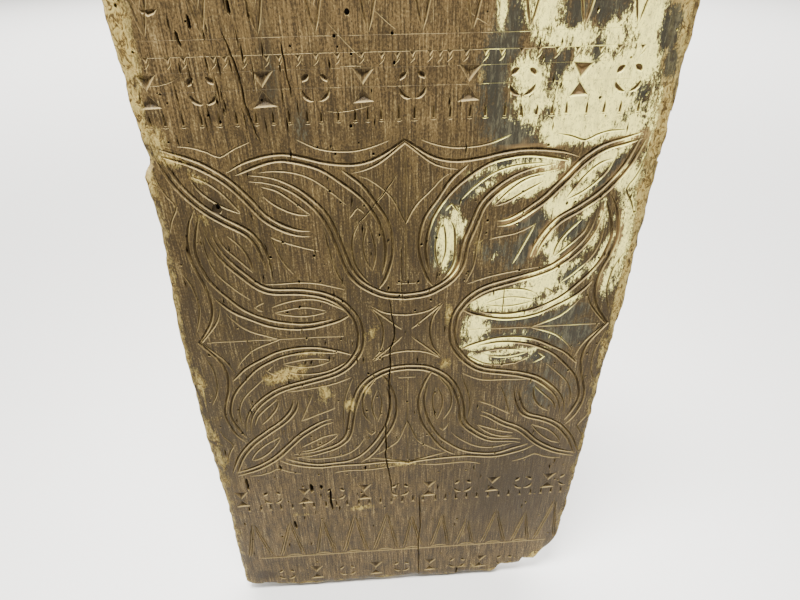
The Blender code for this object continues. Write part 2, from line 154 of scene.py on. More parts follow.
# Tall triangles of double lines: the upper ones by their points, the lower as (point, its height, left foot,
# right foot), in millimetres
UPPER_POINTS = (-225, -176, -128, -78, -31, 17, 62, 114, 163, 212)
UPPER_POINT_HEIGHT = 329
UPPER_BASE = 419
UPPER_HALF_BASE = 20
LOWER_TRIANGLES = ((-233, -335, -252, -211), (-178, -336, -203, -163), (-130, -336, -147, -113),
                   (-81, -330, -105, -63), (-32, -330, -58, -16), (5, -340, -10, 22), (52, -340, 33, 65),
                   (90, -355, 72, 104), (135, -338, 114, 155), (181, -350, 162, 193), (224, -325, 198, 236))
LOWER_BASE = -426
SCALLOPS = (-180, -135, -86, -37, 5, 48, 92, 135, 178)

# The rings' pits as (direction from the middle, half the arc, both in degrees, width in millimetres)
RING_PITS = ((45, 24, 6.8), (135, 24, 6.8), (225, 40, 5.4), (315, 40, 5.4))

# The ticks and the thin strokes across their feet, in millimetres
TICK_WIDTH = 2.5
TICK_LENGTH = 13
TICK_RISE = 1.5
FOOT_STROKE_WIDTH = 1.9
FOOT_STROKE_REACH = 3.6

# The teeth, and the stroke of each as (across, up) from its top, in millimetres
TOOTH_WIDTH = 6.5
TOOTH_HEIGHT = 6
TOOTH_DEPTH = 1.6
TOOTH_STROKE = ((3.2, -1), (1.5, -6), (-3, -11))
TOOTH_STROKE_WIDTH = 1.7

# The widths of the tall triangles' and the scallops' grooves, how far the inner line's foot and point stand
# in from the outer one's, and a scallop as (across, up) from its middle on the base line, in millimetres
UPPER_TRIANGLE_GROOVE = 3.2
UPPER_INSET = 4.6
LOWER_TRIANGLE_GROOVE = 2.8
LOWER_INSET = 4.2
LOWER_DROP = 2.6 * LOWER_INSET
SCALLOP_GROOVE = 3.0
SCALLOP_ARC = ((-14, 1), (-5, 5), (5, 5), (14, 1))

# The thin ruled lines' course across the board as (across, rise), and the four lightest as (height, width),
# in millimetres
RULED_COURSE = ((-238, 0), (-80, 0.6), (80, 0), (225, 0.8))
LIGHT_LINES = ((TEETH_LINE, 0.9), (UPPER_POINT_HEIGHT - 1, 0.7), (UPPER_ROW - 1, 0.6),
               (UPPER_ROW + 15.5, 0.5))

# Cracks as lines of (across, up) and their width, in millimetres
CRACKS = ((((-20, 54), (-17, 26), (-14, -2), (-20, -26), (-20, -48), (-23, -80), (-23, -118), (-29, -152),
            (-29, -187), (-31, -210), (-29, -229), (-25, -262), (-24, -299)), 1.7),
          (((17, -290), (17, -322), (18, -370), (15, -420), (16, -455), (15, -506)), 1.3),
          (((-109, 325), (-107, 298), (-104, 275)), 1.3),
          (((-8, 198), (-22, 178), (-35, 162), (-50, 145)), 1.0),
          (((-112, -274), (-114, -296), (-112, -320)), 3.0),
          (((-171, -338), (-169, -358)), 3.2), (((-139, -258), (-139, -278)), 4.4),
          (((-125, -260), (-125, -273)), 3.8), (((-228, -238), (-227, -265)), 3.2),
          (((79, -486), (79, -506)), 2.8), (((-185, 349), (-185, 335)), 2.4),
          (((-150, 360), (-149, 346)), 2.4), (((-198, 337), (-196, 321)), 2.4),
          (((-159, 336), (-150, 298), (-147, 265), (-138, 232)), 1.6),
          (((-178, -215), (-177, -228)), 3.0), (((-60, -226), (-60, -238)), 2.4),
          (((-4, 120), (-5, 60), (-3, 40)), 0.7), (((113, 60), (114, 20)), 0.9),
          (((-150, 130), (-147, 80)), 0.9))

# Light strokes of a knife point across the surface, as lines of (across, up), in millimetres
SCRATCHES = (((-72, 345), (-45, 316), (-28, 300)), ((-235, 290), (-222, 291), (-210, 294), (-200, 300)),
             ((-80, 265), (-66, 262), (-46, 264), (-28, 268)), ((-62, 302), (-46, 303), (-34, 302)),
             ((52, 350), (66, 340), (78, 333)), ((-30, 352), (-16, 340), (-4, 330)),
             ((-34, 166), (-14, 188)), ((-128, 200), (-124, 176)))
SCRATCH_WIDTH = 1.3

# The dark knot hole at the upper left, the small one between the tall triangles, and the line of a wide nick
# near the left edge, as (across, up), in millimetres
KNOT_HOLE = (-193, 168)
SMALL_KNOT = (-49, 347)
NICK = ((-225, 353), (-218, 350), (-209, 353))
NICK_WIDTH = 7

# How many times as deep as a plain groove the cracks and splits are
CRACK_DEEPENING = 6
UPPER_SPLIT_DEEPENING = 5

# Patches of the painted glare (a painted reflection of bright light on the glossy flats), of its dark grey
# fringe (a painted dark reflection), of rubbed golden wood and of dark stain: (across, up, half width, half
# height, lean in degrees, strength), in millimetres
# The glare patches paint a reflection of bright light on the flats towards the upper right
GLARE_PATCHES = ((127, 350, 13, 24, 0, 1.2), (105, 350, 5, 20, 0, 0.8), (87, 346, 3, 22, 0, 0.9),
                 (152, 322, 22, 10, 0, 1.4), (218, 342, 16, 30, 0, 1.2), (190, 322, 10, 12, 0, 1.1),
                 (226, 302, 14, 24, 0, 1.2), (120, 290, 20, 16, 0, 0.9), (133, 267, 20, 12, 0, 1.1),
                 (175, 285, 28, 18, 0, 1.5), (188, 262, 40, 22, 0, 1.5), (205, 292, 22, 18, 0, 1.2),
                 (172, 240, 38, 13, 0, 1.5), (218, 237, 26, 12, 0, 1.1), (150, 228, 14, 8, 0, 1.2),
                 (120, 250, 14, 8, 0, 0.8), (200, 430, 64, 60, 0, 0.9), (246, 250, 9, 60, 0, 0.8),
                 (44, 120, 10, 27, 0, 1.5), (57, 143, 20, 4, 108, 1.4), (130, 182, 32, 9, 18, 1.5),
                 (105, 203, 30, 6, 14, 0.8), (148, 202, 24, 8, -6, 1.1), (81, 182, 14, 3, 32, 1.3),
                 (165, 159, 18, 10, 35, 1.6), (186, 172, 18, 7, 40, 1.1), (187, 191, 22, 5, 30, 0.9),
                 (206, 208, 18, 7, 40, 1.3), (222, 222, 14, 6, 35, 1.1), (236, 186, 16, 15, 0, 1.0),
                 (242, 142, 12, 30, 0, 0.9), (213, 142, 5, 15, 0, 1.0), (152, 120, 25, 5, 66, 1.4),
                 (168, 110, 14, 8, 50, 1.1), (172, 93, 12, 5, 22, 1.5), (160, 74, 28, 7, 18, 1.5),
                 (168, 60, 14, 7, 0, 1.4), (118, 38, 30, 11, 3, 1.6), (132, 51, 30, 5, 3, 1.3),
                 (176, 40, 14, 7, 25, 1.4), (118, 18, 38, 3, 2, 1.5), (176, 30, 28, 3, 22, 1.2),
                 (83, 0, 12, 14, 0, 1.5), (105, -21, 36, 5, 4, 1.5), (90, -45, 10, 7, 0, 1.4),
                 (122, -37, 38, 3, 4, 1.2), (122, -50, 32, 3, 6, 1.0), (122, -8, 38, 2, 0, 1.0),
                 (221, 98, 26, 3, 70, 1.4), (195, 70, 20, 3, 45, 0.9), (98, 98, 4, 3, 0, 1.5),
                 (206, 118, 20, 6, 60, 0.6), (242, 105, 10, 45, 0, 1.0), (230, 62, 10, 22, 0, 0.7),
                 (196, 150, 12, 6, 50, 0.8))
# The grey patches paint the dark reflection round the glare
GREY_PATCHES = ((100, 345, 6, 30, 0, 1.3), (92, 315, 12, 14, 0, 1.1), (84, 298, 11, 30, 0, 1.3),
                (86, 256, 13, 20, 0, 1.0), (106, 238, 18, 11, 0, 1.3), (112, 228, 22, 7, 0, 1.2),
                (153, 346, 7, 18, 0, 1.4), (177, 350, 11, 16, 0, 1.1), (181, 312, 5, 18, 82, 0.2),
                (180, 311, 18, 5, 80, 1.3), (146, 298, 20, 6, 70, 1.2), (133, 306, 8, 10, 0, 0.8),
                (139, 263, 5, 14, 0, 0.9), (194, 353, 10, 14, 0, 0.9), (209, 328, 3, 9, 0, 0.9),
                (243, 326, 8, 17, 0, 1.5), (250, 296, 6, 14, 0, 1.2), (226, 272, 9, 9, 0, 1.3),
                (219, 253, 12, 4, 70, 1.1), (122, 240, 10, 5, 0, 0.8), (190, 233, 10, 4, 0, 0.7),
                (31, 125, 4, 34, 0, 1.2), (53, 86, 6, 13, 0, 1.3), (42, 158, 8, 9, 0, 1.2),
                (66, 177, 24, 5, 40, 1.4), (98, 204, 14, 4, 20, 1.4), (125, 209, 22, 4, 0, 0.9),
                (130, 143, 24, 8, 8, 1.4), (133, 111, 26, 9, 62, 1.3), (102, 106, 16, 12, 0, 0.6),
                (180, 126, 18, 7, 45, 1.4), (179, 101, 14, 4, 50, 1.2), (186, 68, 18, 6, 45, 1.3),
                (170, 196, 9, 5, 45, 1.1), (197, 177, 20, 4, 30, 1.2), (217, 200, 9, 4, 50, 1.3),
                (92, 32, 6, 4, 0, 1.4), (140, 11, 48, 5, 3, 1.3), (190, 14, 26, 8, 25, 1.2),
                (120, -13, 34, 3, 0, 1.3), (165, -13, 38, 7, -8, 0.9), (205, -14, 22, 18, 0, 0.8),
                (73, -6, 2, 9, 0, 1.3), (130, -44, 28, 3, 5, 1.4), (166, -49, 18, 8, 0, 0.9),
                (175, -100, 40, 30, 20, 0.45), (-122, 300, 5, 50, 0, 0.25), (-96, 250, 10, 20, 0, 0.25))
GOLD_PATCHES = ((207, -467, 7, 11, -25, 1.6), (-70, -318, 26, 5, 4, 0.6), (-160, -325, 22, 6, 0, 0.5),
                (-230, 222, 22, 9, -20, 0.6), (-210, 160, 12, 12, 0, 0.4), (-150, -55, 32, 11, 20, 0.7),
                (-75, -112, 9, 12, 0, 0.8), (-105, -90, 10, 18, 0, 0.7), (-52, -88, 6, 12, 0, 0.7),
                (-40, 5, 8, 10, 0, 0.6), (-46, -5, 9, 6, 0, 0.5), (50, 25, 5, 18, 0, 0.6),
                (74, 292, 5, 10, 0, 0.9), (46, -50, 8, 9, 0, 0.7), (-118, -24, 30, 5, 0, 0.5),
                (-8, -228, 60, 4, 0, 0.5), (-10, -90, 8, 20, 0, 0.3), (80, 110, 9, 14, 0, 0.4),
                (250, 330, 11, 55, 0, 1.0), (252, 245, 11, 50, 0, 1.1), (252, 160, 10, 45, 0, 1.0),
                (254, 90, 8, 35, 0, 0.9), (253, 30, 7, 45, 0, 0.9), (247, -50, 6, 35, 0, 0.7),
                (-250, 335, 15, 50, 0, 1.1), (-250, 265, 9, 32, 0, 1.0), (-254, 205, 7, 35, 0, 0.8),
                (-236, 240, 10, 14, 0, 0.6), (-255, 120, 5, 50, 0, 0.4), (-256, -195, 11, 75, 0, 0.55),
                (-256, -60, 9, 50, 0, 0.5), (-205, 200, 14, 5, -30, 0.7), (0, -300, 60, 6, 0, 0.3),
                (100, -485, 60, 9, 0, 0.35))
STAIN_PATCHES = ((-232, -470, 20, 12, 0, 1.0), (-193, 168, 12, 16, 0, 1.2), (-240, 60, 16, 60, 0, 0.5),
                 (-170, 120, 10, 90, 10, 0.4), (-232, -60, 12, 80, 0, 0.35), (60, -470, 60, 10, 0, 0.4),
                 (-122, 300, 10, 70, 0, 0.7), (-98, 250, 14, 30, 0, 0.7), (-133, 258, 9, 36, 0, 0.6),
                 (165, -215, 75, 60, 0, 0.75), (150, -300, 120, 130, 0, 0.75), (20, 120, 40, 60, 0, 0.4),
                 (0, 0, 60, 60, 0, 0.5))
PATCHES = {"glare": GLARE_PATCHES, "grey": GREY_PATCHES, "gold": GOLD_PATCHES, "stain": STAIN_PATCHES}

# What the finish reads from the shape, in millimetres: how far a band reaches from its middle line, the fade
# at its edge, the strip inside the outline where depth fades out, the worn rim's width, the depth past which
# a wall belongs to a cut, and how far behind the front plane the wood is still polished
BAND_REACH = 6.8
BAND_FADE = 1.8
EDGE_STRIP = 3
RIM_WIDTH = 18
SUNK = 0.12
POLISHED_DEPTH = 7

# The walls of the cuts that face up and a little to the left, towards the key lamp, get a painted highlight
LIT_UP = 0.97
LIT_RIGHT = -0.22

# Edges sharper than this many degrees stay crisp
SHARP_ANGLE = 28

# How high the grain stands on the face, and on the sides and back, in metres
FACE_RELIEF = 0.0012
BACK_RELIEF = 0.0008

# The camera, and each lamp's place, the point it looks at and its width and depth, in metres
CAMERA_PLACE = (-0.0381, -0.5871, 0.4120)
CAMERA_TARGET = (-0.0072, -0.0280, 0.0475)
CAMERA_ROLL_DEGREES = -0.99
KEY_LAMP = ((-0.25, -0.45, 1.8), (0, 0, 0), (0.8, 0.4))
KEY_SPREAD = 80
FILL_LAMP = ((0.9, -1.4, 0.5), (0.15, 0, 0.25), (0.9, 0.9))
BACK_LAMP = ((0, 5.5, 4.0), (0, 4.6, -0.5), (11, 9))
SKY_COLOUR = (1, 0.99, 0.97, 1)


class PanelSizes(bpy.types.PropertyGroup):
    """Sizes of the board and of the tools that cut it."""
    cell: FloatProperty(
        name="Face cell", description="Size of the hewn face's cells", default=0.0058, min=0.003,
        unit="LENGTH")
    edge_roll: FloatProperty(
        name="Edge roll", description="How far the worn arris falls back at the outline", default=0.0045,
        unit="LENGTH")
    edge_reach: FloatProperty(
        name="Edge reach", description="How far in from the outline the arris is worn", default=0.014,
        unit="LENGTH")
    hewing: FloatProperty(
        name="Hewing", description="Height of the waves that the adze left on the face", default=0.0007,
        unit="LENGTH")
    band_groove: FloatProperty(
        name="Band groove", description="Width of the grooves that draw the bands", default=0.0046,
        unit="LENGTH")
    band_spacing: FloatProperty(
        name="Band spacing", description="Distance between a band's two grooves", default=0.0064,
        unit="LENGTH")
    leaf_groove: FloatProperty(
        name="Leaf groove", description="Width of the grooves that draw the leaves", default=0.0034,
        unit="LENGTH")
    fine_groove: FloatProperty(
        name="Fine groove", description="Width of the thin lines", default=0.0027, unit="LENGTH")
    chip_width: FloatProperty(
        name="Chip width", description="Width of an hourglass chip", default=0.021, unit="LENGTH")
    chip_height: FloatProperty(
        name="Chip height", description="Height of an hourglass of two chips", default=0.030, unit="LENGTH")
    chip_depth: FloatProperty(
        name="Chip depth", description="Depth of a chip", default=0.0036, unit="LENGTH")
    ring_radius: FloatProperty(
        name="Ring radius", description="Radius of the ring of pits round a disc", default=0.0125,
        unit="LENGTH")
    worm_holes: IntProperty(
        name="Worm holes", description="Number of places tried for worm holes", default=260, min=0)
    grain_checks: IntProperty(
        name="Grain checks", description="Number of places tried for short splits along the grain",
        default=170, min=0)
    upper_splits: IntProperty(
        name="Upper splits", description="Number of longer splits in the dry wood at the upper left",
        default=34, min=0)
    foot_bites: IntProperty(
        name="Foot bites", description="Number of bites out of the lower edge", default=46, min=0)
    side_bites: IntProperty(
        name="Side bites", description="Number of bites out of the left and right edges", default=54, min=0)


class PanelColours(bpy.types.PropertyGroup):
    """Colours of the old wood, and of the light and shade painted on it."""
    brown: FloatVectorProperty(
        name="Brown", description="The patina over most of the face", subtype="COLOR", size=4, min=0, max=1,
        default=(0.058, 0.038, 0.0115, 1))
    # Dark is also the painted shade deep in the cuts
    dark: FloatVectorProperty(
        name="Dark", description="The darkest grain and the dirt in the cuts", subtype="COLOR", size=4,
        min=0, max=1, default=(0.028, 0.0185, 0.0075, 1))
    warm: FloatVectorProperty(
        name="Warm", description="The redder, warmer grain", subtype="COLOR", size=4, min=0, max=1,
        default=(0.082, 0.053, 0.018, 1))
    # Light is also the painted highlight on the cuts' walls that face the key lamp
    light: FloatVectorProperty(
        name="Light", description="The driest grain and the rubbed lips of the cuts", subtype="COLOR",
        size=4, min=0, max=1, default=(0.44, 0.33, 0.14, 1))
    # Painted glare: a painted reflection of bright light on the glossy high flats
    bright_glare: FloatVectorProperty(
        name="Bright_glare", description="The worn bloom on the high flats", subtype="COLOR", size=4, min=0, max=1,
        default=(0.98, 0.88, 0.25, 1))
    # Grey paints the dark reflection round the painted glare, and the glare's dark flecks
    grey: FloatVectorProperty(
        name="Grey", description="The dark fringe and flecks of the bloom", subtype="COLOR", size=4,
        min=0, max=1, default=(0.027, 0.025, 0.0165, 1))
    # The dimmer parts of the painted glare
    dim_glare: FloatVectorProperty(
        name="Dim_glare", description="The cooler, thinner parts of the bloom", subtype="COLOR", size=4,
        min=0, max=1, default=(0.70, 0.62, 0.195, 1))
    # The light streaks in the painted dark reflection round the glare
    fringe_streak: FloatVectorProperty(
        name="Fringe_streak", description="The light streaks in the dark fringe of the bloom", subtype="COLOR", size=4,
        min=0, max=1, default=(0.175, 0.160, 0.092, 1))
    golden: FloatVectorProperty(
        name="Golden", description="The lighter patina towards both ends", subtype="COLOR", size=4, min=0,
        max=1, default=(0.165, 0.105, 0.040, 1))
    straw: FloatVectorProperty(
        name="Straw", description="The palest spots of the bare wood", subtype="COLOR", size=4, min=0, max=1,
        default=(0.53, 0.410, 0.125, 1))
    # Hole paints black shade in the deepest cracks and holes, and the black specks of the grain
    hole: FloatVectorProperty(
        name="Hole_shade", description="The black of cracks and worm holes", subtype="COLOR", size=4, min=0, max=1,
        default=(0.006, 0.005, 0.003, 1))
    # Rust colours the bands and cuts inside the painted glare's zone, where the painted reflection leaves
    # off
    rust: FloatVectorProperty(
        name="Rust", description="The reddish wood in the cuts where the bloom lies", subtype="COLOR",
        size=4, min=0, max=1, default=(0.21, 0.130, 0.050, 1))
    ochre: FloatVectorProperty(
        name="Ochre", description="Bare golden wood where the patina is rubbed or chipped off",
        subtype="COLOR", size=4, min=0, max=1, default=(0.27, 0.165, 0.037, 1))


class StageSettings(bpy.types.PropertyGroup):
    """The studio round the board."""
    floor_gap: FloatProperty(
        name="Floor gap", description="Space between the board's foot and the floor", default=0.004,
        unit="LENGTH")
    floor_size: FloatProperty(
        name="Floor size", description="Length of the floor's sides", default=60.0, unit="LENGTH")
    floor_colour: FloatVectorProperty(
        name="Floor colour", description="Colour of the plain floor", subtype="COLOR", size=4, min=0,
        max=1, default=(0.81, 0.795, 0.755, 1))
    key_power: FloatProperty(
        name="Key power", description="Power of the lamp high above the carved face",
        default=31.5, unit="POWER")
    fill_power: FloatProperty(
        name="Fill power", description="Power of the lamp on the right that the worn flats mirror",
        default=4.0, unit="POWER")
    back_power: FloatProperty(
        name="Back power", description="Power of the lamp that lights the floor behind the board",
        default=2350.0, unit="POWER")
    sky_strength: FloatProperty(
        name="Sky strength", description="Strength of the even light from all round", default=0.45)
    lens: FloatProperty(
        name="Lens", description="Focal length of the camera, in millimetres on a 36 mm frame",
        default=26.17, unit="CAMERA")


class Plank:
    """The plank's outline and face: where its edges run and how far its worn face falls back."""

    def __init__(self, sizes):
        self.sizes = sizes
        self.front = PANEL_LOW.y
        self.back = PANEL_HIGH.y
        self.top = PANEL_HIGH.z
        self.half_width = (PANEL_HIGH.x - PANEL_LOW.x) / 2

    def left(self, z):
        """Where the left edge runs at a height."""
        ragged = 0.0012 * noise.noise((3.1, 0, z * 60)) + 0.0008 * noise.noise((7.7, 0, z * 170))
        return along(LEFT_SIDE, z) + ragged

    def right(self, z):
        """Where the right edge runs at a height."""
        ragged = 0.0015 * noise.noise((13.1, 0, z * 55)) + 0.0010 * noise.noise((17.7, 0, z * 150))
        return along(RIGHT_SIDE, z) + ragged

    def foot(self, x):
        """Where the lower edge runs at a place across."""
        ragged = 0.0022 * noise.noise((x * 70, 0, 23.1)) + 0.0012 * noise.noise((x * 190, 0, 27.7))
        return along(FOOT_EDGE, x) + ragged

    def inside(self, x, z):
        """Distance from a place on the face to the nearest worn edge."""
        return min(x - self.left(z), self.right(z) - x, z - self.foot(x))

    def fall(self, x, z):
        """How far the face lies behind the board's front plane at a place."""
        waves = 0.5 + 0.5 * noise.noise((x * 11, 0, z * 7))
        furrows = 0.5 + 0.5 * noise.noise((x * 85, 0, z * 6))
        fall = self.sizes.hewing * (0.75 * waves + 0.35 * furrows)
        inside = max(self.inside(x, z), 0)
        if inside < self.sizes.edge_reach:
            worn = 1 - inside / self.sizes.edge_reach
            chewed = 0.6 + 0.8 * noise.noise((x * 40, 5.5, z * 40))
            fall += self.sizes.edge_roll * worn ** 2.4 * max(chewed, 0.15)
        return fall


def along(line, place):
    """The second value of a line of (place, value) pairs in millimetres at a place in metres, in metres."""
    spot = place / MM
    for (a, start), (b, end) in zip(line, line[1:]):
        if spot <= b:
            share = min(max((spot - a) / (b - a), 0), 1)
            return (start + (end - start) * share) * MM
    return line[-1][1] * MM


def in_metres(line):
    """The points of a line in millimetres, in metres."""
    return [(x * MM, z * MM) for x, z in line]


def crowded(share, pull):
    """A share from 0 to 1 moved towards its ends, so that a grid is finer near its edges."""
    return share - pull * math.sin(2 * math.pi * share) / (2 * math.pi)


def hewn_plank(plank):
    """The uncarved board: a fine hewn face, rough worn edges and a flat back."""
    sizes = plank.sizes
    columns = round(2 * plank.half_width / sizes.cell)
    rows = round((plank.top - PANEL_LOW.z) / sizes.cell)
    bm = bmesh.new()
    bmesh.ops.create_grid(bm, x_segments=columns, y_segments=rows, size=0.5)
    foot_left = plank.left(PANEL_LOW.z)
    foot_width = plank.right(PANEL_LOW.z) - foot_left
    for vert in bm.verts:
        across = crowded(vert.co.x + 0.5, 0.5)
        up = crowded(vert.co.y + 0.5, 0.3)
        low = plank.foot(foot_left + across * foot_width)
        z = low + up * (plank.top - low)
        x = plank.left(z) + across * (plank.right(z) - plank.left(z))
        vert.co = (x, plank.front + plank.fall(x, z), z)
    rim = [edge for edge in bm.edges if edge.is_boundary]
    middle = (plank.front + plank.back) / 2
    for y, ragged in ((middle, 0.0016), (plank.back - 0.004, 0.0012), (plank.back, 0)):
        fresh = bmesh.ops.extrude_edge_only(bm, edges=rim)["geom"]
        rim = [part for part in fresh if isinstance(part, bmesh.types.BMEdge)]
        for vert in {vert for edge in rim for vert in edge.verts}:
            vert.co.y = y
            if vert.co.z < plank.top - 0.5 * MM:
                push = ragged * noise.noise(vert.co * 60)
                vert.co.x += push if vert.co.x > 0 else -push
                vert.co.z += abs(push) * 0.5
    bmesh.ops.edgeloop_fill(bm, edges=rim)
    bmesh.ops.recalc_face_normals(bm, faces=bm.faces)
    mesh = bpy.data.meshes.new("carved_board")
    bm.to_mesh(mesh)
    bm.free()
    board = bpy.data.objects.new("carved_board", mesh)
    bpy.context.scene.collection.objects.link(board)
    return board


def smooth_path(points, step):
    """Points about a step apart on a smooth curve through the given ones."""
    last = len(points) - 1
    path = []
    for i in range(last):
        quad = [points[max(i - 1, 0)], points[i], points[i + 1], points[min(i + 2, last)]]
        count = max(1, round(math.dist(points[i], points[i + 1]) / step))
        for k in range(count):
            t = k / count
            path.append(tuple(
                0.5 * (2 * b + (c - a) * t + (2 * a - 5 * b + 4 * c - d) * t * t
                       + (3 * b - a - 3 * c + d) * t ** 3)
                for a, b, c, d in zip(*quad)))
    path.append(points[-1])
    return path


def astray(x, z):
    """A point of the knot, moved by the carver's hand."""
    moved_x = x
    moved_z = z
    for across, up, reach, shift_x, shift_z in STRAYS:
        away = ((x - across * MM) ** 2 + (z - up * MM) ** 2) / (reach * MM) ** 2
        weight = math.exp(-away) * MM
        moved_x += shift_x * weight
        moved_z += shift_z * weight
    return moved_x, moved_z


def beside(path, gap):
    """The path moved sideways by the gap, to the left of its direction."""
    moved = []
    for i, (x, z) in enumerate(path):
        back = path[max(i - 1, 0)]
        ahead = path[min(i + 1, len(path) - 1)]
        run = (ahead[0] - back[0], ahead[1] - back[1])
        length = math.hypot(*run)
        moved.append((x - run[1] / length * gap, z + run[0] / length * gap))
    return moved


def knot_paths(shares):
    """All copies of one line of the knot. Halves that meet on a middle come back as one path."""
    joined = shares[-1][0] == 0 and shares[0][0] != 0
    on_diagonal = all(p == q for p, q in shares)
    on_middle = all(p == 0 for p, q in shares)
    paths = []
    for swapped in ((False,) if on_diagonal else (False, True)):
        for side in (1, -1):
            if joined or on_middle:
                copies = [[(p, side * q) for p, q in shares]]
            else:
                copies = [[(way * p, side * q) for p, q in shares] for way in (1, -1)]
            for line in copies:
                if swapped:
                    line = [(q, p) for p, q in line]
                corners = [(p * KNOT_HALF_WIDTH, q * KNOT_HALF_HEIGHT) for p, q in line]
                line = smooth_path(corners, Carver.STEP)
                if joined:
                    flip = (1, -1) if swapped else (-1, 1)
                    line += [(flip[0] * x, flip[1] * z) for x, z in reversed(line[:-1])]
                paths.append([astray(x, z) for x, z in line])
    return paths


def evaluated_mesh(thing):
    """A new mesh of what an object shows, with its modifiers applied."""
    return bpy.data.meshes.new_from_object(thing.evaluated_get(bpy.context.evaluated_depsgraph_get()))


class Carver:
    """Makes the cutters. Each one is a closed solid of its own that stands in the plank's face or edge."""
    STEP = 5.5 * MM
    LIFT = 0.4 * MM

    def __init__(self, plank):
        self.plank = plank
        self.cutters = bpy.data.collections.new("cutters")
        bpy.context.scene.collection.children.link(self.cutters)
        self.upright = Matrix.Rotation(math.pi / 2, 4, "X")

    def face_height(self, x, z):
        """Height of the face over the back's plane, with the cutters' lift."""
        return -(self.plank.front + self.plank.fall(x, z)) + self.LIFT

    def groove(self, path, width, fade=0.22, blunt=(), deepened=1.0):
        """A V groove of this width along a path in metres. It fades out at the ends that aren't blunt.

        Deepened is how many times as deep as its width gives it the groove is cut.
        """
        curve = bpy.data.curves.new("groove", "CURVE")
        curve.dimensions = "3D"
        curve.twist_mode = "Z_UP"
        curve.bevel_depth = 1.0
        curve.bevel_resolution = 0
        curve.use_fill_caps = True
        spline = curve.splines.new("POLY")
        spline.points.add(len(path) - 1)
        lengths = [0.0]
        for a, b in zip(path, path[1:]):
            lengths.append(lengths[-1] + math.dist(a, b))
        for point, (x, z), reached in zip(spline.points, path, lengths):
            share = reached / lengths[-1]
            from_start = 1 if "start" in blunt else share
            from_end = 1 if "end" in blunt else 1 - share
            strength = min(1.0, from_start / fade, from_end / fade)
            waver = 1 + 0.16 * noise.noise((x * 45, 9.1, z * 45))
            sway = 0.35 * MM * noise.noise((x * 30, 31.7, z * 30))
            full = width / 2 * waver + self.LIFT
            clear = 0.6 * self.LIFT
            point.co = (x + sway, z + sway, self.face_height(x, z), 1)
            point.radius = clear + (full - clear) * math.sqrt(strength)
        holder = bpy.data.objects.new("groove_line", curve)
        bpy.context.scene.collection.objects.link(holder)
        mesh = evaluated_mesh(holder)
        bpy.data.objects.remove(holder, do_unlink=True)
        bm = bmesh.new()
        bm.from_mesh(mesh)
        bmesh.ops.remove_doubles(bm, verts=bm.verts, dist=0.01 * MM)
        bmesh.ops.recalc_face_normals(bm, faces=bm.faces)
        bmesh.ops.transform(bm, matrix=self.upright, verts=bm.verts)
        if deepened > 1:
            for vert in bm.verts:
                face = self.plank.front + self.plank.fall(vert.co.x, vert.co.z)
                if vert.co.y > face:
                    vert.co.y = face + deepened * (vert.co.y - face)
        self.keep(bm)

    def keep(self, bm):
        """Turn a finished bmesh into a cutter."""
        mesh = bpy.data.meshes.new("cutter")
        bm.to_mesh(mesh)
        bm.free()
        mesh.shade_flat()
        self.cutters.objects.link(bpy.data.objects.new("cutter", mesh))

    def chip(self, x, z, way, width, height, depth, lean=0.0):
        """A three sided pit. Its flat side is up where way is 1 and down at -1, and its point at (x, z)."""
        grown = 1 + self.LIFT / depth
        turn = Matrix.Rotation(0 if way > 0 else math.pi, 4, "Y") @ Matrix.Rotation(-math.pi / 2, 4, "X")
        middle = z + way * height / 2
        out = (depth - self.LIFT) / 2 - (self.face_height(x, middle) - self.LIFT)
        place = Matrix.Translation((x, out, middle + way * height * grown / 6))
        size = Matrix.Diagonal((width * grown / math.sqrt(3), height * grown / 1.5, 1, 1))
        bm = bmesh.new()
        bmesh.ops.create_cone(bm, cap_ends=True, segments=3, radius1=1, radius2=0, depth=depth + self.LIFT,
                              matrix=place @ Matrix.Rotation(lean, 4, "Y") @ turn @ size)
        self.keep(bm)

    def pit(self, x, z, radius, depth, tall=1.0, corners=8):
        """A round hole that narrows a little to its flat floor, such as a worm leaves."""
        length = depth + self.LIFT
        place = Matrix.Translation((x, length / 2 - self.face_height(x, z), z))
        turn = Matrix.Rotation(-math.pi / 2, 4, "X")
        bm = bmesh.new()
        bmesh.ops.create_cone(bm, cap_ends=True, segments=corners, radius1=radius, radius2=0.8 * radius,
                              depth=length, matrix=place @ Matrix.Diagonal((1, 1, tall, 1)) @ turn)
        self.keep(bm)

    def bite(self, x, y, z, size, seed):
        """A ragged lump that takes a bite out of the board's edge."""
        bm = bmesh.new()
        bmesh.ops.create_icosphere(bm, subdivisions=2, radius=1)
        for vert in bm.verts:
            vert.co *= 1 + 0.35 * noise.noise(vert.co * 1.7 + Vector((seed, 0, 0)))
        bmesh.ops.transform(bm, verts=bm.verts,
                            matrix=Matrix.Translation((x, y, z)) @ Matrix.Diagonal((*size, 1)))
        self.keep(bm)


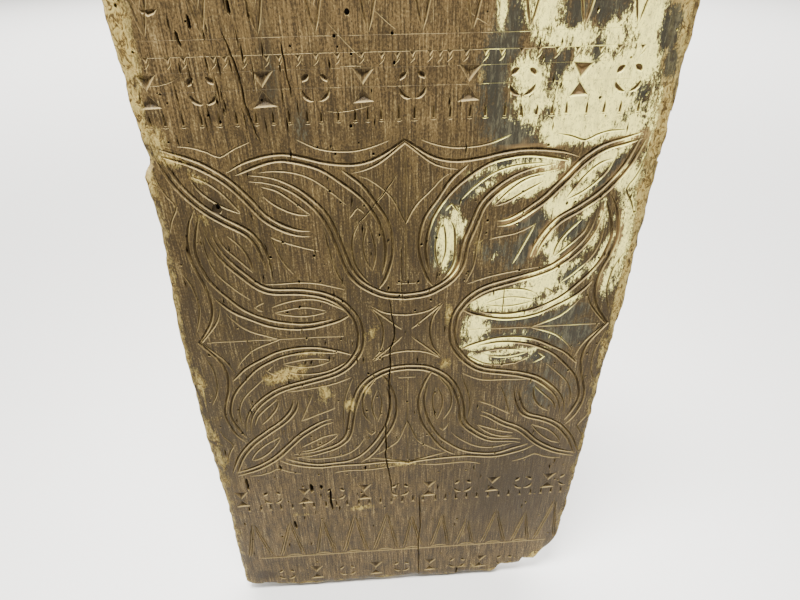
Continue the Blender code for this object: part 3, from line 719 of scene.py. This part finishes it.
def carve_knot(carver):
    """The interlaced knot, line by line."""
    sizes = carver.plank.sizes
    for shares in (CORNER_BAND, U_BAND):
        for path in knot_paths(shares):
            for way in (0.5, -0.5):
                carver.groove(beside(path, way * sizes.band_spacing), sizes.band_groove, fade=0.14)
    for shares in (RIM_OUTER, RIM_INNER, RIM_SECOND):
        for path in knot_paths(shares):
            carver.groove(path, sizes.band_groove, fade=0.08)
    for shares in (BRACKET, CORNER_LEAF, LOOP_LEAF_UPPER, LOOP_LEAF_LOWER, LOBE_SIDE, STAR_SIDE):
        for path in knot_paths(shares):
            carver.groove(path, sizes.leaf_groove)
    for shares in (TIP_ARCH, LOBE_LEAF_IN, LOBE_LEAF_OUT, LOBE_CHEVRON, LOOP_ECHO, FIELD_TOP, FIELD_SIDE,
                   OUTER_CORNER, OUTER_SWAG):
        for path in knot_paths(shares):
            carver.groove(path, sizes.fine_groove)
    for shares in (SPINE, SPINE_BAR):
        for path in knot_paths(shares):
            carver.groove(path, 0.6 * sizes.fine_groove, blunt=("start", "end"))
    for path in knot_paths(STAR_CUT):
        carver.groove(path, sizes.leaf_groove, blunt=("start",))


def carve_hourglass(carver, x, z):
    """Two chips that meet at their points."""
    sizes = carver.plank.sizes
    for way in (1, -1):
        grow = 1 + 0.12 * noise.noise((x * 90, way, z * 90))
        carver.chip(x + 0.3 * way * MM, z + 0.5 * way * MM, way, sizes.chip_width * grow,
                    sizes.chip_height / 2 * grow, sizes.chip_depth, lean=0.05 * way)


def carve_ring(carver, x, z):
    """Four pits round a disc: two short fat ones above, two crescents below."""
    radius = carver.plank.sizes.ring_radius
    for corner, half, width in RING_PITS:
        corner += 8 * noise.noise((x * 90, corner, z * 90))
        arc = [(x + radius * math.cos(math.radians(corner + share * half)),
                z + radius * math.sin(math.radians(corner + share * half)))
               for share in (-1, -0.6, -0.2, 0.2, 0.6, 1)]
        carver.groove(arc, width * MM, fade=0.5)


def hand(spot, size=0.8 * MM):
    """How far the hand strays at the mark with this number."""
    return size * noise.noise((spot * 0.37, 3.3, 1.1))


def carve_ticks(carver, line, ticks):
    """A row of short upright cuts, each with a thin stroke across its foot."""
    for x in ticks:
        foot = line * MM + TICK_RISE * MM
        top = foot + TICK_LENGTH * MM + hand(2 * x, 4 * MM)
        stem = [(x * MM, foot), (x * MM + hand(x), (foot + top) / 2), (x * MM + hand(3 * x), top)]
        carver.groove(stem, TICK_WIDTH * MM, fade=0.5, blunt=("start",), deepened=2)
        reach = FOOT_STROKE_REACH * MM + hand(5 * x, 1.5 * MM)
        level = line * MM + hand(7 * x, 0.5 * MM)
        stroke = [(x * MM - reach, level), (x * MM, level), (x * MM + reach, level)]
        carver.groove(stroke, FOOT_STROKE_WIDTH * MM, fade=0.4)


def carve_teeth(carver):
    """A row of small chips, each with a stroke that slants down past it."""
    for x in TEETH:
        top = TEETH_LINE * MM + hand(x, 1.5 * MM)
        carver.chip(x * MM, top - TOOTH_HEIGHT * MM, 1, TOOTH_WIDTH * MM, TOOTH_HEIGHT * MM,
                    TOOTH_DEPTH * MM)
        stroke = [(x * MM + across * MM, top + up * MM) for across, up in TOOTH_STROKE]
        carver.groove(smooth_path(stroke, 2.5 * MM), TOOTH_STROKE_WIDTH * MM, fade=0.5)


def carve_triangles(carver):
    """The tall triangles, with two lines a side, and the scallops between the lower ones' feet."""
    step = 3 * Carver.STEP
    for x in UPPER_POINTS:
        for half in (UPPER_HALF_BASE, UPPER_HALF_BASE - UPPER_INSET):
            point = (UPPER_BASE - half * (UPPER_BASE - UPPER_POINT_HEIGHT) / UPPER_HALF_BASE) * MM
            for side in (1, -1):
                foot = (x + side * half) * MM + hand(x + half)
                line = [(x * MM, point + hand(x)), (foot, UPPER_BASE * MM)]
                carver.groove(smooth_path(line, step), UPPER_TRIANGLE_GROOVE * MM, fade=0.1)
    for x, point, left, right in LOWER_TRIANGLES:
        for inset, drop in ((0, 0), (LOWER_INSET, LOWER_DROP)):
            for foot in (left + inset, right - inset):
                line = in_metres(((x, point - drop), (foot, LOWER_BASE + 1)))
                carver.groove(smooth_path(line, step), LOWER_TRIANGLE_GROOVE * MM, fade=0.1)
    for x in SCALLOPS:
        arc = in_metres((x + across, LOWER_BASE + up) for across, up in SCALLOP_ARC)
        carver.groove(smooth_path(arc, 4 * MM), SCALLOP_GROOVE * MM, fade=0.5)


def rule_lines(carver):
    """The thin lines ruled across the board: the triangles' bases and four lighter ones."""
    fine = carver.plank.sizes.fine_groove
    lines = [(UPPER_BASE, fine), (LOWER_BASE, fine)]
    lines += [(height, width * MM) for height, width in LIGHT_LINES]
    for height, width in lines:
        ruled = in_metres((across, height + rise) for across, rise in RULED_COURSE)
        carver.groove(smooth_path(ruled, 2 * Carver.STEP), width, fade=0.04)


def carve_borders(carver):
    """The rows of hourglasses and rings, the ticks, the teeth, the tall triangles and the ruled lines."""
    for row, hourglasses, rings in ((UPPER_ROW, UPPER_HOURGLASSES, UPPER_RINGS),
                                    (LOWER_ROW, LOWER_HOURGLASSES, LOWER_RINGS),
                                    (FOOT_ROW, FOOT_HOURGLASSES, FOOT_RINGS)):
        for x in hourglasses:
            carve_hourglass(carver, x * MM, row * MM + hand(x))
        for x in rings:
            carve_ring(carver, x * MM, row * MM + hand(x))
    for line, ticks in ((UPPER_TICK_LINE, UPPER_TICKS), (LOWER_TICK_LINE, LOWER_TICKS)):
        carve_ticks(carver, line, ticks)
    carve_teeth(carver)
    carve_triangles(carver)
    rule_lines(carver)


def carve_cracks(carver):
    """The long cracks and the strokes of a knife point."""
    for line, width in CRACKS:
        path = smooth_path(in_metres(line), 4 * MM)
        path = [(x + 0.9 * MM * noise.noise((0, 4.4, z * 170)), z) for x, z in path]
        carver.groove(path, width * MM, fade=0.15, deepened=CRACK_DEEPENING)
    for line in SCRATCHES:
        carver.groove(smooth_path(in_metres(line), Carver.STEP), SCRATCH_WIDTH * MM, fade=0.4)


def carve_knot_holes(carver):
    """The knot hole with its deep heart, the small knot hole, and the nick."""
    x, z = (value * MM for value in KNOT_HOLE)
    carver.pit(x, z, 5.5 * MM, 2.2 * MM, tall=1.2, corners=14)
    carver.pit(x + 1 * MM, z + 2 * MM, 2.2 * MM, 6 * MM, tall=1.6, corners=10)
    x, z = (value * MM for value in SMALL_KNOT)
    carver.pit(x, z, 2.6 * MM, 5 * MM, tall=1.2, corners=10)
    carver.groove(smooth_path(in_metres(NICK), 4 * MM), NICK_WIDTH * MM, fade=0.5)


def carve_split(carver, x, z, length, lean, width, deepened):
    """A short split along the grain, up from a place. Its lean is across over up."""
    path = [(x, z), (x + lean * length / 2, z + length / 2), (x + lean * length, z + length)]
    carver.groove(path, width, fade=0.5, deepened=deepened)


def carve_holes(carver, dice):
    """Worm holes and splits, spread by the dice."""
    plank = carver.plank
    sizes = plank.sizes
    for i in range(sizes.worm_holes):
        x = dice.uniform(-250, 255) * MM
        z = dice.triangular(-495, 480, -60) * MM
        if plank.inside(x, z) > 4 * MM:
            carver.pit(x, z, dice.uniform(0.8, 1.7) * MM, dice.uniform(5, 8) * MM, tall=dice.uniform(1, 1.5))
    for i in range(sizes.grain_checks):
        x = dice.uniform(-250, 255) * MM
        z = dice.triangular(-495, 480, 0) * MM
        length = dice.uniform(4, 15) * MM
        lean = dice.uniform(-0.08, 0.08)
        if plank.inside(x, z) > 6 * MM and plank.inside(x, z + length) > 6 * MM:
            carve_split(carver, x, z, length, lean, dice.uniform(1.0, 2.2) * MM, CRACK_DEEPENING)
    for i in range(sizes.upper_splits):
        x = dice.triangular(-215, -85, -118) * MM
        z = dice.uniform(222, 365) * MM
        length = dice.uniform(10, 34) * MM
        lean = dice.uniform(-0.1, 0.02)
        carve_split(carver, x, z, length, lean, dice.uniform(1.0, 1.9) * MM, UPPER_SPLIT_DEEPENING)


def bite_edges(carver, dice):
    """Bites out of the lower edge and both sides, spread by the dice."""
    plank = carver.plank
    deepest = plank.back - 6 * MM
    for i in range(plank.sizes.foot_bites):
        x = dice.uniform(-255, 236) * MM
        y = dice.uniform(plank.front, deepest)
        size = (dice.uniform(2, 6) * MM, dice.uniform(3, 8) * MM, dice.uniform(1.5, 4) * MM)
        carver.bite(x, y, plank.foot(x) - size[2] * 0.35, size, i)
    for i in range(plank.sizes.side_bites):
        z = dice.uniform(-400, 490) * MM
        side = dice.choice((plank.left, plank.right))
        way = -1 if side == plank.left else 1
        y = dice.uniform(plank.front, deepest)
        size = (dice.uniform(1.5, 3.5) * MM, dice.uniform(3, 8) * MM, dice.uniform(4, 14) * MM)
        carver.bite(side(z) + way * size[0] * 0.3, y, z, size, 100 + i)


def carve_age(carver):
    """All that time has done: cracks, scratches, knots, worm holes, splits, and bites out of the edges."""
    carve_cracks(carver)
    carve_knot_holes(carver)
    dice = random.Random(7)
    carve_holes(carver, dice)
    bite_edges(carver, dice)


def cut(board, cutters):
    """Cut every cutter out of the board, keep the result as the board's mesh and clear the cutters away."""
    work = board.modifiers.new("carving", "BOOLEAN")
    work.operation = "DIFFERENCE"
    work.operand_type = "COLLECTION"
    work.collection = cutters
    work.solver = "MANIFOLD"
    carved = evaluated_mesh(board)
    board.modifiers.remove(work)
    board.data = carved
    for cutter in list(cutters.objects):
        bpy.data.objects.remove(cutter, do_unlink=True)
    bpy.data.collections.remove(cutters)


def patch_strength(patches, x, z):
    """The strongest of some soft oval patches at a place, from 0 to 1.4."""
    strongest = 0.0
    for across, up, half_width, half_height, lean, strength in patches:
        away_x = x / MM - across
        away_z = z / MM - up
        if abs(away_x) + abs(away_z) > 2.3 * (half_width + half_height):
            continue
        turn = math.radians(lean)
        along_x = (away_x * math.cos(turn) + away_z * math.sin(turn)) / half_width
        along_z = (away_z * math.cos(turn) - away_x * math.sin(turn)) / half_height
        strongest = max(strongest, strength * (1.6 - math.hypot(along_x, along_z)))
    return min(max(strongest, 0.0), 1.4)


def note_places(board, plank):
    """Keep on the mesh what the finish reads.

    These are the depth of the cuts, nearness to the outline and the bands, the patches, and for each face
    how much it is a wall of a cut that faces up and left towards the key lamp, for its painted highlight.
    """
    mesh = board.data
    paths = [path for shares in (CORNER_BAND, U_BAND, RIM_OUTER) for path in knot_paths(shares)]
    bands = [point for path in paths for point in path]
    tree = KDTree(len(bands))
    for i, (x, z) in enumerate(bands):
        tree.insert((x, 0, z), i)
    tree.balance()
    values = {name: [] for name in ("depth", "rim", *PATCHES, "band")}
    for vert in mesh.vertices:
        x, y, z = vert.co
        away = tree.find((x, 0, z))[2] / MM
        inside = max(plank.inside(x, z), 0) / MM
        depth = max(y - plank.front - plank.fall(x, z), 0) / MM
        values["band"].append(min(max((BAND_REACH - away) / BAND_FADE, 0), 1))
        values["depth"].append(depth * min(inside / EDGE_STRIP, 1))
        values["rim"].append(1 - min(inside / RIM_WIDTH, 1))
        for name, patches in PATCHES.items():
            values[name].append(patch_strength(patches, x, z))
    for name, value in values.items():
        mesh.attributes.new(name, "FLOAT", "POINT").data.foreach_set("value", value)
    # How much each wall of a cut faces up and left towards the key lamp, for its painted highlight
    lit_side = []
    for face in mesh.polygons:
        x, y, z = face.center
        sunk = y - plank.front - plank.fall(x, z) > SUNK * MM
        facing = face.normal.z * LIT_UP + face.normal.x * LIT_RIGHT
        lit_side.append(min(max((facing - 0.12) / 0.4, 0), 1) if sunk else 0)
    mesh.attributes.new("lit_side", "FLOAT", "FACE").data.foreach_set("value", lit_side)


def feed(tree, node, sources):
    """Fill a node's sockets. What feeds one is a value or another node's output."""
    for socket, source in sources.items():
        if isinstance(source, bpy.types.NodeSocket):
            tree.links.new(source, node.inputs[socket])
        else:
            node.inputs[socket].default_value = source


def add_node(tree, kind, sources=None, **settings):
    """Add a shader node with its settings, and feed it."""
    node = tree.nodes.new(kind)
    for name, value in settings.items():
        setattr(node, name, value)
    feed(tree, node, sources or {})
    return node


def folded(tree, operation, values):
    """The values worked together one after the other."""
    result = values[0]
    for value in values[1:]:
        result = add_node(tree, "ShaderNodeMath", {0: result, 1: value}, operation=operation).outputs[0]
    return result


def plus(tree, *values):
    """The sum of the values."""
    return folded(tree, "ADD", values)


def minus(tree, *values):
    """The first value less the others."""
    return folded(tree, "SUBTRACT", values)


def times(tree, *values):
    """The product of the values."""
    return folded(tree, "MULTIPLY", values)


def largest(tree, *values):
    """The largest of the values."""
    return folded(tree, "MAXIMUM", values)


def weighed(tree, *parts):
    """The sum of some values, each times its weight."""
    return plus(tree, *(times(tree, value, weight) for value, weight in parts))


def fade_in(tree, value, low, high):
    """0 where the value is below low, 1 above high, and smooth between. It falls where high is below low."""
    sources = {"Value": value, "From Min": low, "From Max": high}
    return add_node(tree, "ShaderNodeMapRange", sources, interpolation_type="SMOOTHSTEP").outputs["Result"]


def speckle(tree, place, scale, detail=3.0, roughness=0.55, warp=0.0):
    """A noise whose scale is given for each direction, in waves per metre."""
    spread = add_node(tree, "ShaderNodeMapping", {"Vector": place, "Scale": scale}, vector_type="POINT")
    sources = {"Vector": spread.outputs[0], "Scale": 1.0, "Detail": detail, "Roughness": roughness,
               "Distortion": warp}
    return add_node(tree, "ShaderNodeTexNoise", sources).outputs["Fac"]


def blend_colours(tree, mask, under, over):
    """One colour over another where the mask says."""
    return add_node(tree, "ShaderNodeMix", {0: mask, 6: under, 7: over}, data_type="RGBA").outputs[2]


def layered(tree, colour, layers):
    """A colour with layers over it. Each is its mask, how strongly it covers, and its colour."""
    for mask, strength, over in layers:
        colour = blend_colours(tree, times(tree, mask, strength), colour, over)
    return colour


def new_group(name, vectors, values, outputs):
    """An empty node group with named sockets, and its tree's input sockets and output node."""
    tree = bpy.data.node_groups.new(name, "ShaderNodeTree")
    for socket in vectors:
        tree.interface.new_socket(name=socket, in_out="INPUT", socket_type="NodeSocketVector")
    for socket in values:
        tree.interface.new_socket(name=socket, in_out="INPUT", socket_type="NodeSocketFloat")
    for socket in outputs:
        tree.interface.new_socket(name=socket, in_out="OUTPUT", socket_type="NodeSocketFloat")
    return tree, tree.nodes.new("NodeGroupInput").outputs, tree.nodes.new("NodeGroupOutput")


def use_group(tree, group, sources):
    """Place a node group in a material."""
    return add_node(tree, "ShaderNodeGroup", sources, node_tree=group).outputs


def grain_group():
    """Old hardwood's grain: wide streaks, fine fibres, blotches, and their height."""
    tree, given, result = new_group("wood_grain", ["Place"], [], ["Streaks", "Fine", "Blotches", "Height"])
    place = given["Place"]
    streaks = speckle(tree, place, (26, 12, 3.2), detail=4, roughness=0.6, warp=0.4)
    fibres = speckle(tree, place, (520, 260, 26), detail=4, roughness=0.65, warp=0.25)
    blotches = speckle(tree, place, (60, 60, 38), detail=6, roughness=0.68, warp=0.8)
    pits = speckle(tree, place, (620, 620, 380), detail=3, roughness=0.7)
    fine = weighed(tree, (fibres, 0.55), (pits, 0.45))
    height = plus(tree, fine, times(tree, blotches, 0.3))
    feed(tree, result, {"Streaks": streaks, "Fine": fine, "Blotches": blotches, "Height": height})
    return tree


def cut_group():
    """What the cuts do to the colour. Their depth is in millimetres.

    There is painted shade that grows deeper down, a painted highlight on the walls that face up and left
    towards the key lamp, a weaker light lip along every arris that is partly wear and partly painted
    highlight, and painted black shade in the deepest holes.
    """
    tree, given, result = new_group("cut_marks", [], ["Depth", "Blotches", "Lit_side"],
                                    ["Deep_shade", "Worn_lip_and_highlight", "Hole_shade"])
    depth = given["Depth"]
    uneven = times(tree, given["Blotches"], 1.2)
    # Painted shade: darker the deeper a cut goes
    deep_shade = fade_in(tree, minus(tree, depth, uneven), 0.1, 1.9)
    # Painted highlight on the walls that face the key lamp, and a light arris that is partly wear and partly
    # painted highlight
    lit_wall = times(tree, fade_in(tree, depth, 1.5, 0.5), given["Lit_side"])
    arris = times(tree, fade_in(tree, depth, 0.03, 0.2), fade_in(tree, depth, 0.65, 0.35), 0.35)
    # The deepest holes get painted black shade
    feed(tree, result, {"Deep_shade": deep_shade, "Worn_lip_and_highlight": largest(tree, lit_wall, arris),
                        "Hole_shade": fade_in(tree, depth, 3.5, 4.6)})
    return tree


def glare_group():
    """The painted glare: a broken painted reflection of bright light on the high flats, and a painted dark
    reflection round it as its fringe.

    The glare has dimmer parts and dark flecks, and the fringe has light streaks. Both keep out of the
    cuts.
    """
    tree, given, result = new_group("painted_glare", ["Place"], ["Bloom", "Grey", "Depth", "Band"],
                                    ["Bright_glare", "Dark", "Dim", "Flecks", "Fringe_streak"])
    place = given["Place"]
    islands = speckle(tree, place, (80, 80, 44), detail=6, roughness=0.7, warp=0.5)
    crumbs = speckle(tree, place, (520, 520, 330), detail=5, roughness=0.8)
    stripes = speckle(tree, place, (150, 60, 12), detail=5, roughness=0.7, warp=0.5)
    scuffs = speckle(tree, place, (330, 260, 90), detail=5, roughness=0.75, warp=0.8)
    flat = fade_in(tree, given["Depth"], 0.5, 0.06)
    ragged = weighed(tree, (islands, 1.6), (crumbs, 3.4), (stripes, 2.4), (scuffs, 3.2))
    ragged = minus(tree, ragged, 5.3)
    near_glare = fade_in(tree, given["Bloom"], 0.0, 0.3)
    near_grey = fade_in(tree, given["Grey"], 0.0, 0.3)
    eaten = weighed(tree, (given["Grey"], 0.6), (given["Band"], 0.75))
    cover = minus(tree, plus(tree, given["Bloom"], ragged), eaten)
    # Painted reflection: bright glare where the cover is strong, and a painted dark reflection at its fringe
    bright_glare = times(tree, fade_in(tree, cover, 0.25, 0.85), near_glare)
    fringe = times(tree, fade_in(tree, cover, -0.2, 0.25), near_glare)
    shade = plus(tree, given["Grey"], times(tree, ragged, 0.9))
    shade = times(tree, fade_in(tree, shade, 0.05, 0.9), near_grey, minus(tree, 1.0, given["Band"]))
    dark = largest(tree, times(tree, fringe, 0.7), shade)
    full_glare = times(tree, fade_in(tree, islands, 0.32, 0.54), fade_in(tree, scuffs, 0.34, 0.53))
    flecks = largest(tree, fade_in(tree, crumbs, 0.46, 0.39), fade_in(tree, scuffs, 0.41, 0.33))
    fringe_streak = weighed(tree, (stripes, 0.5), (scuffs, 0.5))
    feed(tree, result, {"Bright_glare": times(tree, bright_glare, flat), "Dark": times(tree, dark, flat),
                        "Dim": minus(tree, 1.0, full_glare), "Flecks": flecks,
                        "Fringe_streak": fade_in(tree, fringe_streak, 0.48, 0.62)})
    return tree


def kept(tree, name):
    """A value that was kept on the mesh."""
    return add_node(tree, "ShaderNodeAttribute", attribute_name=name).outputs["Fac"]


def new_material(name):
    """A material, its tree, and the place that its patterns read."""
    material = bpy.data.materials.new(name)
    material.use_nodes = True
    tree = material.node_tree
    return material, tree, add_node(tree, "ShaderNodeTexCoord").outputs["Object"]


def feed_wood(tree, colour, roughness, height, relief):
    """Feed a wood's shader. The relief is the height's full reach in metres."""
    bump = add_node(tree, "ShaderNodeBump", {"Strength": 0.9, "Distance": relief, "Height": height})
    shader = tree.nodes["Principled BSDF"]
    feed(tree, shader, {"Base Color": colour, "Roughness": roughness, "Normal": bump.outputs["Normal"]})
    return shader


def brown_wood(tree, place, wood, colours):
    """The colour of the brown patina.

    It has warm streaks and golden ends, dark blotches, dark and light fibres, and black specks.
    """
    up = add_node(tree, "ShaderNodeSeparateXYZ", {0: place}).outputs["Z"]
    specks = speckle(tree, place, (430, 430, 240), detail=2)
    return layered(tree, colours.brown, (
        (fade_in(tree, wood["Streaks"], 0.38, 0.66), 1.0, colours.warm),
        (fade_in(tree, up, 0.12, 0.34), 0.5, colours.golden),
        (fade_in(tree, up, -0.18, -0.30), 0.32, colours.golden),
        (fade_in(tree, wood["Blotches"], 0.60, 0.36), 0.6, colours.dark),
        (fade_in(tree, wood["Fine"], 0.53, 0.42), 0.95, colours.dark),
        (fade_in(tree, wood["Fine"], 0.53, 0.66), 0.42, colours.light),
        (fade_in(tree, specks, 0.31, 0.26), 0.85, colours.hole)))


def patina_material(colours, grain, cuts, glare):
    """The carved face: brown patina, golden bare wood, stains, painted glare, and painted shade and
    highlights in the cuts.
    """
    material, tree, place = new_material("aged_wood")
    depth = kept(tree, "depth")
    band = kept(tree, "band")
    gold = kept(tree, "gold")
    bright_glare = kept(tree, "glare")
    grey = kept(tree, "grey")
    wood = use_group(tree, grain, {"Place": place})
    marks = use_group(tree, cuts, {"Depth": depth, "Blotches": wood["Blotches"],
                                   "Lit_side": kept(tree, "lit_side")})
    glare_cover = minus(tree, bright_glare, times(tree, gold, 0.55))
    glare_masks = use_group(tree, glare, {"Place": place, "Bloom": glare_cover, "Grey": grey, "Depth": depth,
                                   "Band": band})
    mottle = minus(tree, weighed(tree, (wood["Blotches"], 1.6), (wood["Fine"], 1.4)), 1.5)
    rubbed = fade_in(tree, plus(tree, gold, mottle), 0.35, 0.85)
    worn = fade_in(tree, plus(tree, kept(tree, "rim"), mottle), 0.55, 1.05)
    bare = largest(tree, rubbed, times(tree, worn, 0.8))
    bark = speckle(tree, place, (210, 210, 120), detail=6, roughness=0.75, warp=1.0)
    bare_colour = layered(tree, colours.ochre, (
        (fade_in(tree, bark, 0.44, 0.55), 1.0, colours.straw),
        (fade_in(tree, bark, 0.48, 0.41), 0.85, colours.dark)))
    stain = fade_in(tree, plus(tree, kept(tree, "stain"), wood["Blotches"]), 0.8, 1.6)
    fringe_colour = layered(tree, colours.grey, ((glare_masks["Fringe_streak"], 0.45, colours.fringe_streak),))
    glare_colour = layered(tree, colours.bright_glare, ((glare_masks["Dim"], 1.0, colours.dim_glare),
                                                (glare_masks["Flecks"], 0.5, colours.grey)))
    # The zone of the painted glare and its dark fringe; the painted highlights in it are paler and stronger
    glare_zone = fade_in(tree, plus(tree, bright_glare, grey), 0.35, 1.0)
    highlight_colour = blend_colours(tree, glare_zone, colours.light, colours.bright_glare)
    highlight_strength = plus(tree, 0.55, times(tree, glare_zone, 0.3))
    # Over the wood go the painted reflection, painted shade deep in the cuts, painted highlights on their
    # walls that face the key lamp, and painted black in the deepest holes
    colour = layered(tree, brown_wood(tree, place, wood, colours), (
        (bare, 0.75, bare_colour),
        (stain, 0.8, colours.dark),
        (glare_masks["Dark"], 0.92, fringe_colour),
        (times(tree, band, glare_zone), 0.75, colours.rust),
        (glare_masks["Bright_glare"], 1.0, glare_colour),
        (marks["Deep_shade"], 0.3, colours.dark),
        (times(tree, marks["Deep_shade"], glare_zone), 0.7, colours.rust),
        (marks["Worn_lip_and_highlight"], highlight_strength, highlight_colour),
        (marks["Hole_shade"], 0.9, colours.hole)))
    roughness = plus(tree, 0.40, times(tree, wood["Blotches"], 0.25), times(tree, bare, 0.2))
    height = plus(tree, wood["Height"], times(tree, bare, bark, 1.6))
    shader = feed_wood(tree, colour, roughness, height, FACE_RELIEF)
    feed(tree, shader, {"Coat Weight": times(tree, glare_masks["Bright_glare"], 0.5), "Coat Roughness": 0.3,
                        "Specular IOR Level": 0.14})
    return material


def bare_material(colours, grain):
    """The sides and the back: dry weathered wood that was never polished."""
    material, tree, place = new_material("weathered_wood")
    wood = use_group(tree, grain, {"Place": place})
    colour = layered(tree, colours.brown, (
        (fade_in(tree, wood["Streaks"], 0.35, 0.65), 1.0, colours.ochre),
        (fade_in(tree, wood["Fine"], 0.6, 0.38), 1.0, colours.dark),
        (fade_in(tree, wood["Blotches"], 0.6, 0.4), 0.5, colours.dark)))
    feed_wood(tree, colour, 0.8, wood["Height"], BACK_RELIEF)
    return material


def finish_wood(board, plank, colours):
    """Give the face its patina with its painted light and shade, and the sides and back their bare wood."""
    grain = grain_group()
    board.data.materials.clear()
    board.data.materials.append(patina_material(colours, grain, cut_group(), glare_group()))
    board.data.materials.append(bare_material(colours, grain))
    for face in board.data.polygons:
        face.material_index = 1 if face.center.y > plank.front + POLISHED_DEPTH * MM else 0


def plain_material(name, colour, roughness):
    """A material of one colour."""
    material = bpy.data.materials.new(name)
    material.use_nodes = True
    tree = material.node_tree
    feed(tree, tree.nodes["Principled BSDF"], {"Base Color": colour, "Roughness": roughness})
    return material


class PANEL_OT_carve_board(bpy.types.Operator):
    """Hew the plank, carve it and give it its old finish with painted light and shade"""
    bl_idname = "panel.carve_board"
    bl_label = "Carve the board"

    def execute(self, context):
        plank = Plank(context.scene.panel_sizes)
        board = hewn_plank(plank)
        carver = Carver(plank)
        carve_knot(carver)
        carve_borders(carver)
        carve_age(carver)
        cut(board, carver.cutters)
        board.data.shade_smooth()
        board.data.set_sharp_from_angle(angle=math.radians(SHARP_ANGLE))
        note_places(board, plank)
        finish_wood(board, plank, context.scene.panel_colours)
        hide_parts(PANEL_NODE)
        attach(board, "root")
        return {"FINISHED"}


def lamp(name, place, target, size, power, spread=180):
    """A rectangular area lamp that looks at a point. Its spread is in degrees."""
    light = bpy.data.lights.new(name, "AREA")
    light.shape = "RECTANGLE"
    light.size, light.size_y = size
    light.energy = power
    light.spread = math.radians(spread)
    holder = bpy.data.objects.new(name, light)
    holder.location = place
    holder.rotation_euler = (Vector(target) - Vector(place)).to_track_quat("-Z", "Y").to_euler()
    bpy.context.scene.collection.objects.link(holder)


class PANEL_OT_set_stage(bpy.types.Operator):
    """Lay the plain floor and set up the lamps, the sky and the camera"""
    bl_idname = "panel.set_stage"
    bl_label = "Set the stage"

    def execute(self, context):
        settings = context.scene.panel_stage
        bm = bmesh.new()
        bmesh.ops.create_grid(bm, x_segments=1, y_segments=1, size=settings.floor_size / 2,
                              matrix=Matrix.Translation((0, 0, PANEL_LOW.z - settings.floor_gap)))
        mesh = bpy.data.meshes.new("studio_floor")
        bm.to_mesh(mesh)
        bm.free()
        mesh.materials.append(plain_material("studio_floor", settings.floor_colour, 0.9))
        floor = bpy.data.objects.new("studio_floor", mesh)
        context.scene.collection.objects.link(floor)
        world = bpy.data.worlds.new("studio_sky")
        world.use_nodes = True
        tree = world.node_tree
        feed(tree, tree.nodes["Background"], {"Color": SKY_COLOUR, "Strength": settings.sky_strength})
        context.scene.world = world
        lamp("key", *KEY_LAMP, settings.key_power, spread=KEY_SPREAD)
        lamp("fill", *FILL_LAMP, settings.fill_power)
        lamp("back", *BACK_LAMP, settings.back_power)
        camera = bpy.data.cameras.new("camera")
        camera.lens = settings.lens
        camera.sensor_width = 36
        camera.clip_end = 200
        holder = bpy.data.objects.new("camera", camera)
        place = Vector(CAMERA_PLACE)
        look = (Vector(CAMERA_TARGET) - place).to_track_quat("-Z", "Y").to_matrix().to_4x4()
        roll = Matrix.Rotation(math.radians(CAMERA_ROLL_DEGREES), 4, "Z")
        holder.matrix_world = Matrix.Translation(place) @ look @ roll
        context.scene.collection.objects.link(holder)
        context.scene.camera = holder
        return {"FINISHED"}


class PANEL_PT_sidebar(bpy.types.Panel):
    """Builds the carved panel from the 3D view's sidebar"""
    bl_idname = "PANEL_PT_sidebar"
    bl_label = "Carved panel"
    bl_space_type = "VIEW_3D"
    bl_region_type = "UI"
    bl_category = "Carved panel"

    def draw(self, context):
        for group in (context.scene.panel_sizes, context.scene.panel_colours, context.scene.panel_stage):
            box = self.layout.box()
            for name in group.__annotations__:
                box.prop(group, name)
        for operator in (PANEL_OT_carve_board, PANEL_OT_set_stage):
            self.layout.operator(operator.bl_idname)


CLASSES = (PanelSizes, PanelColours, StageSettings, PANEL_OT_carve_board, PANEL_OT_set_stage,
           PANEL_PT_sidebar)


def register():
    """Make the classes and the scene's settings known."""
    for cls in CLASSES:
        bpy.utils.register_class(cls)
    bpy.types.Scene.panel_sizes = PointerProperty(type=PanelSizes)
    bpy.types.Scene.panel_colours = PointerProperty(type=PanelColours)
    bpy.types.Scene.panel_stage = PointerProperty(type=StageSettings)


def unregister():
    """Forget them again."""
    del bpy.types.Scene.panel_stage
    del bpy.types.Scene.panel_colours
    del bpy.types.Scene.panel_sizes
    for cls in reversed(CLASSES):
        bpy.utils.unregister_class(cls)


def main():
    """Build everything."""
    register()
    bpy.ops.panel.carve_board()
    bpy.ops.panel.set_stage()


if __name__ == "__main__":
    main()
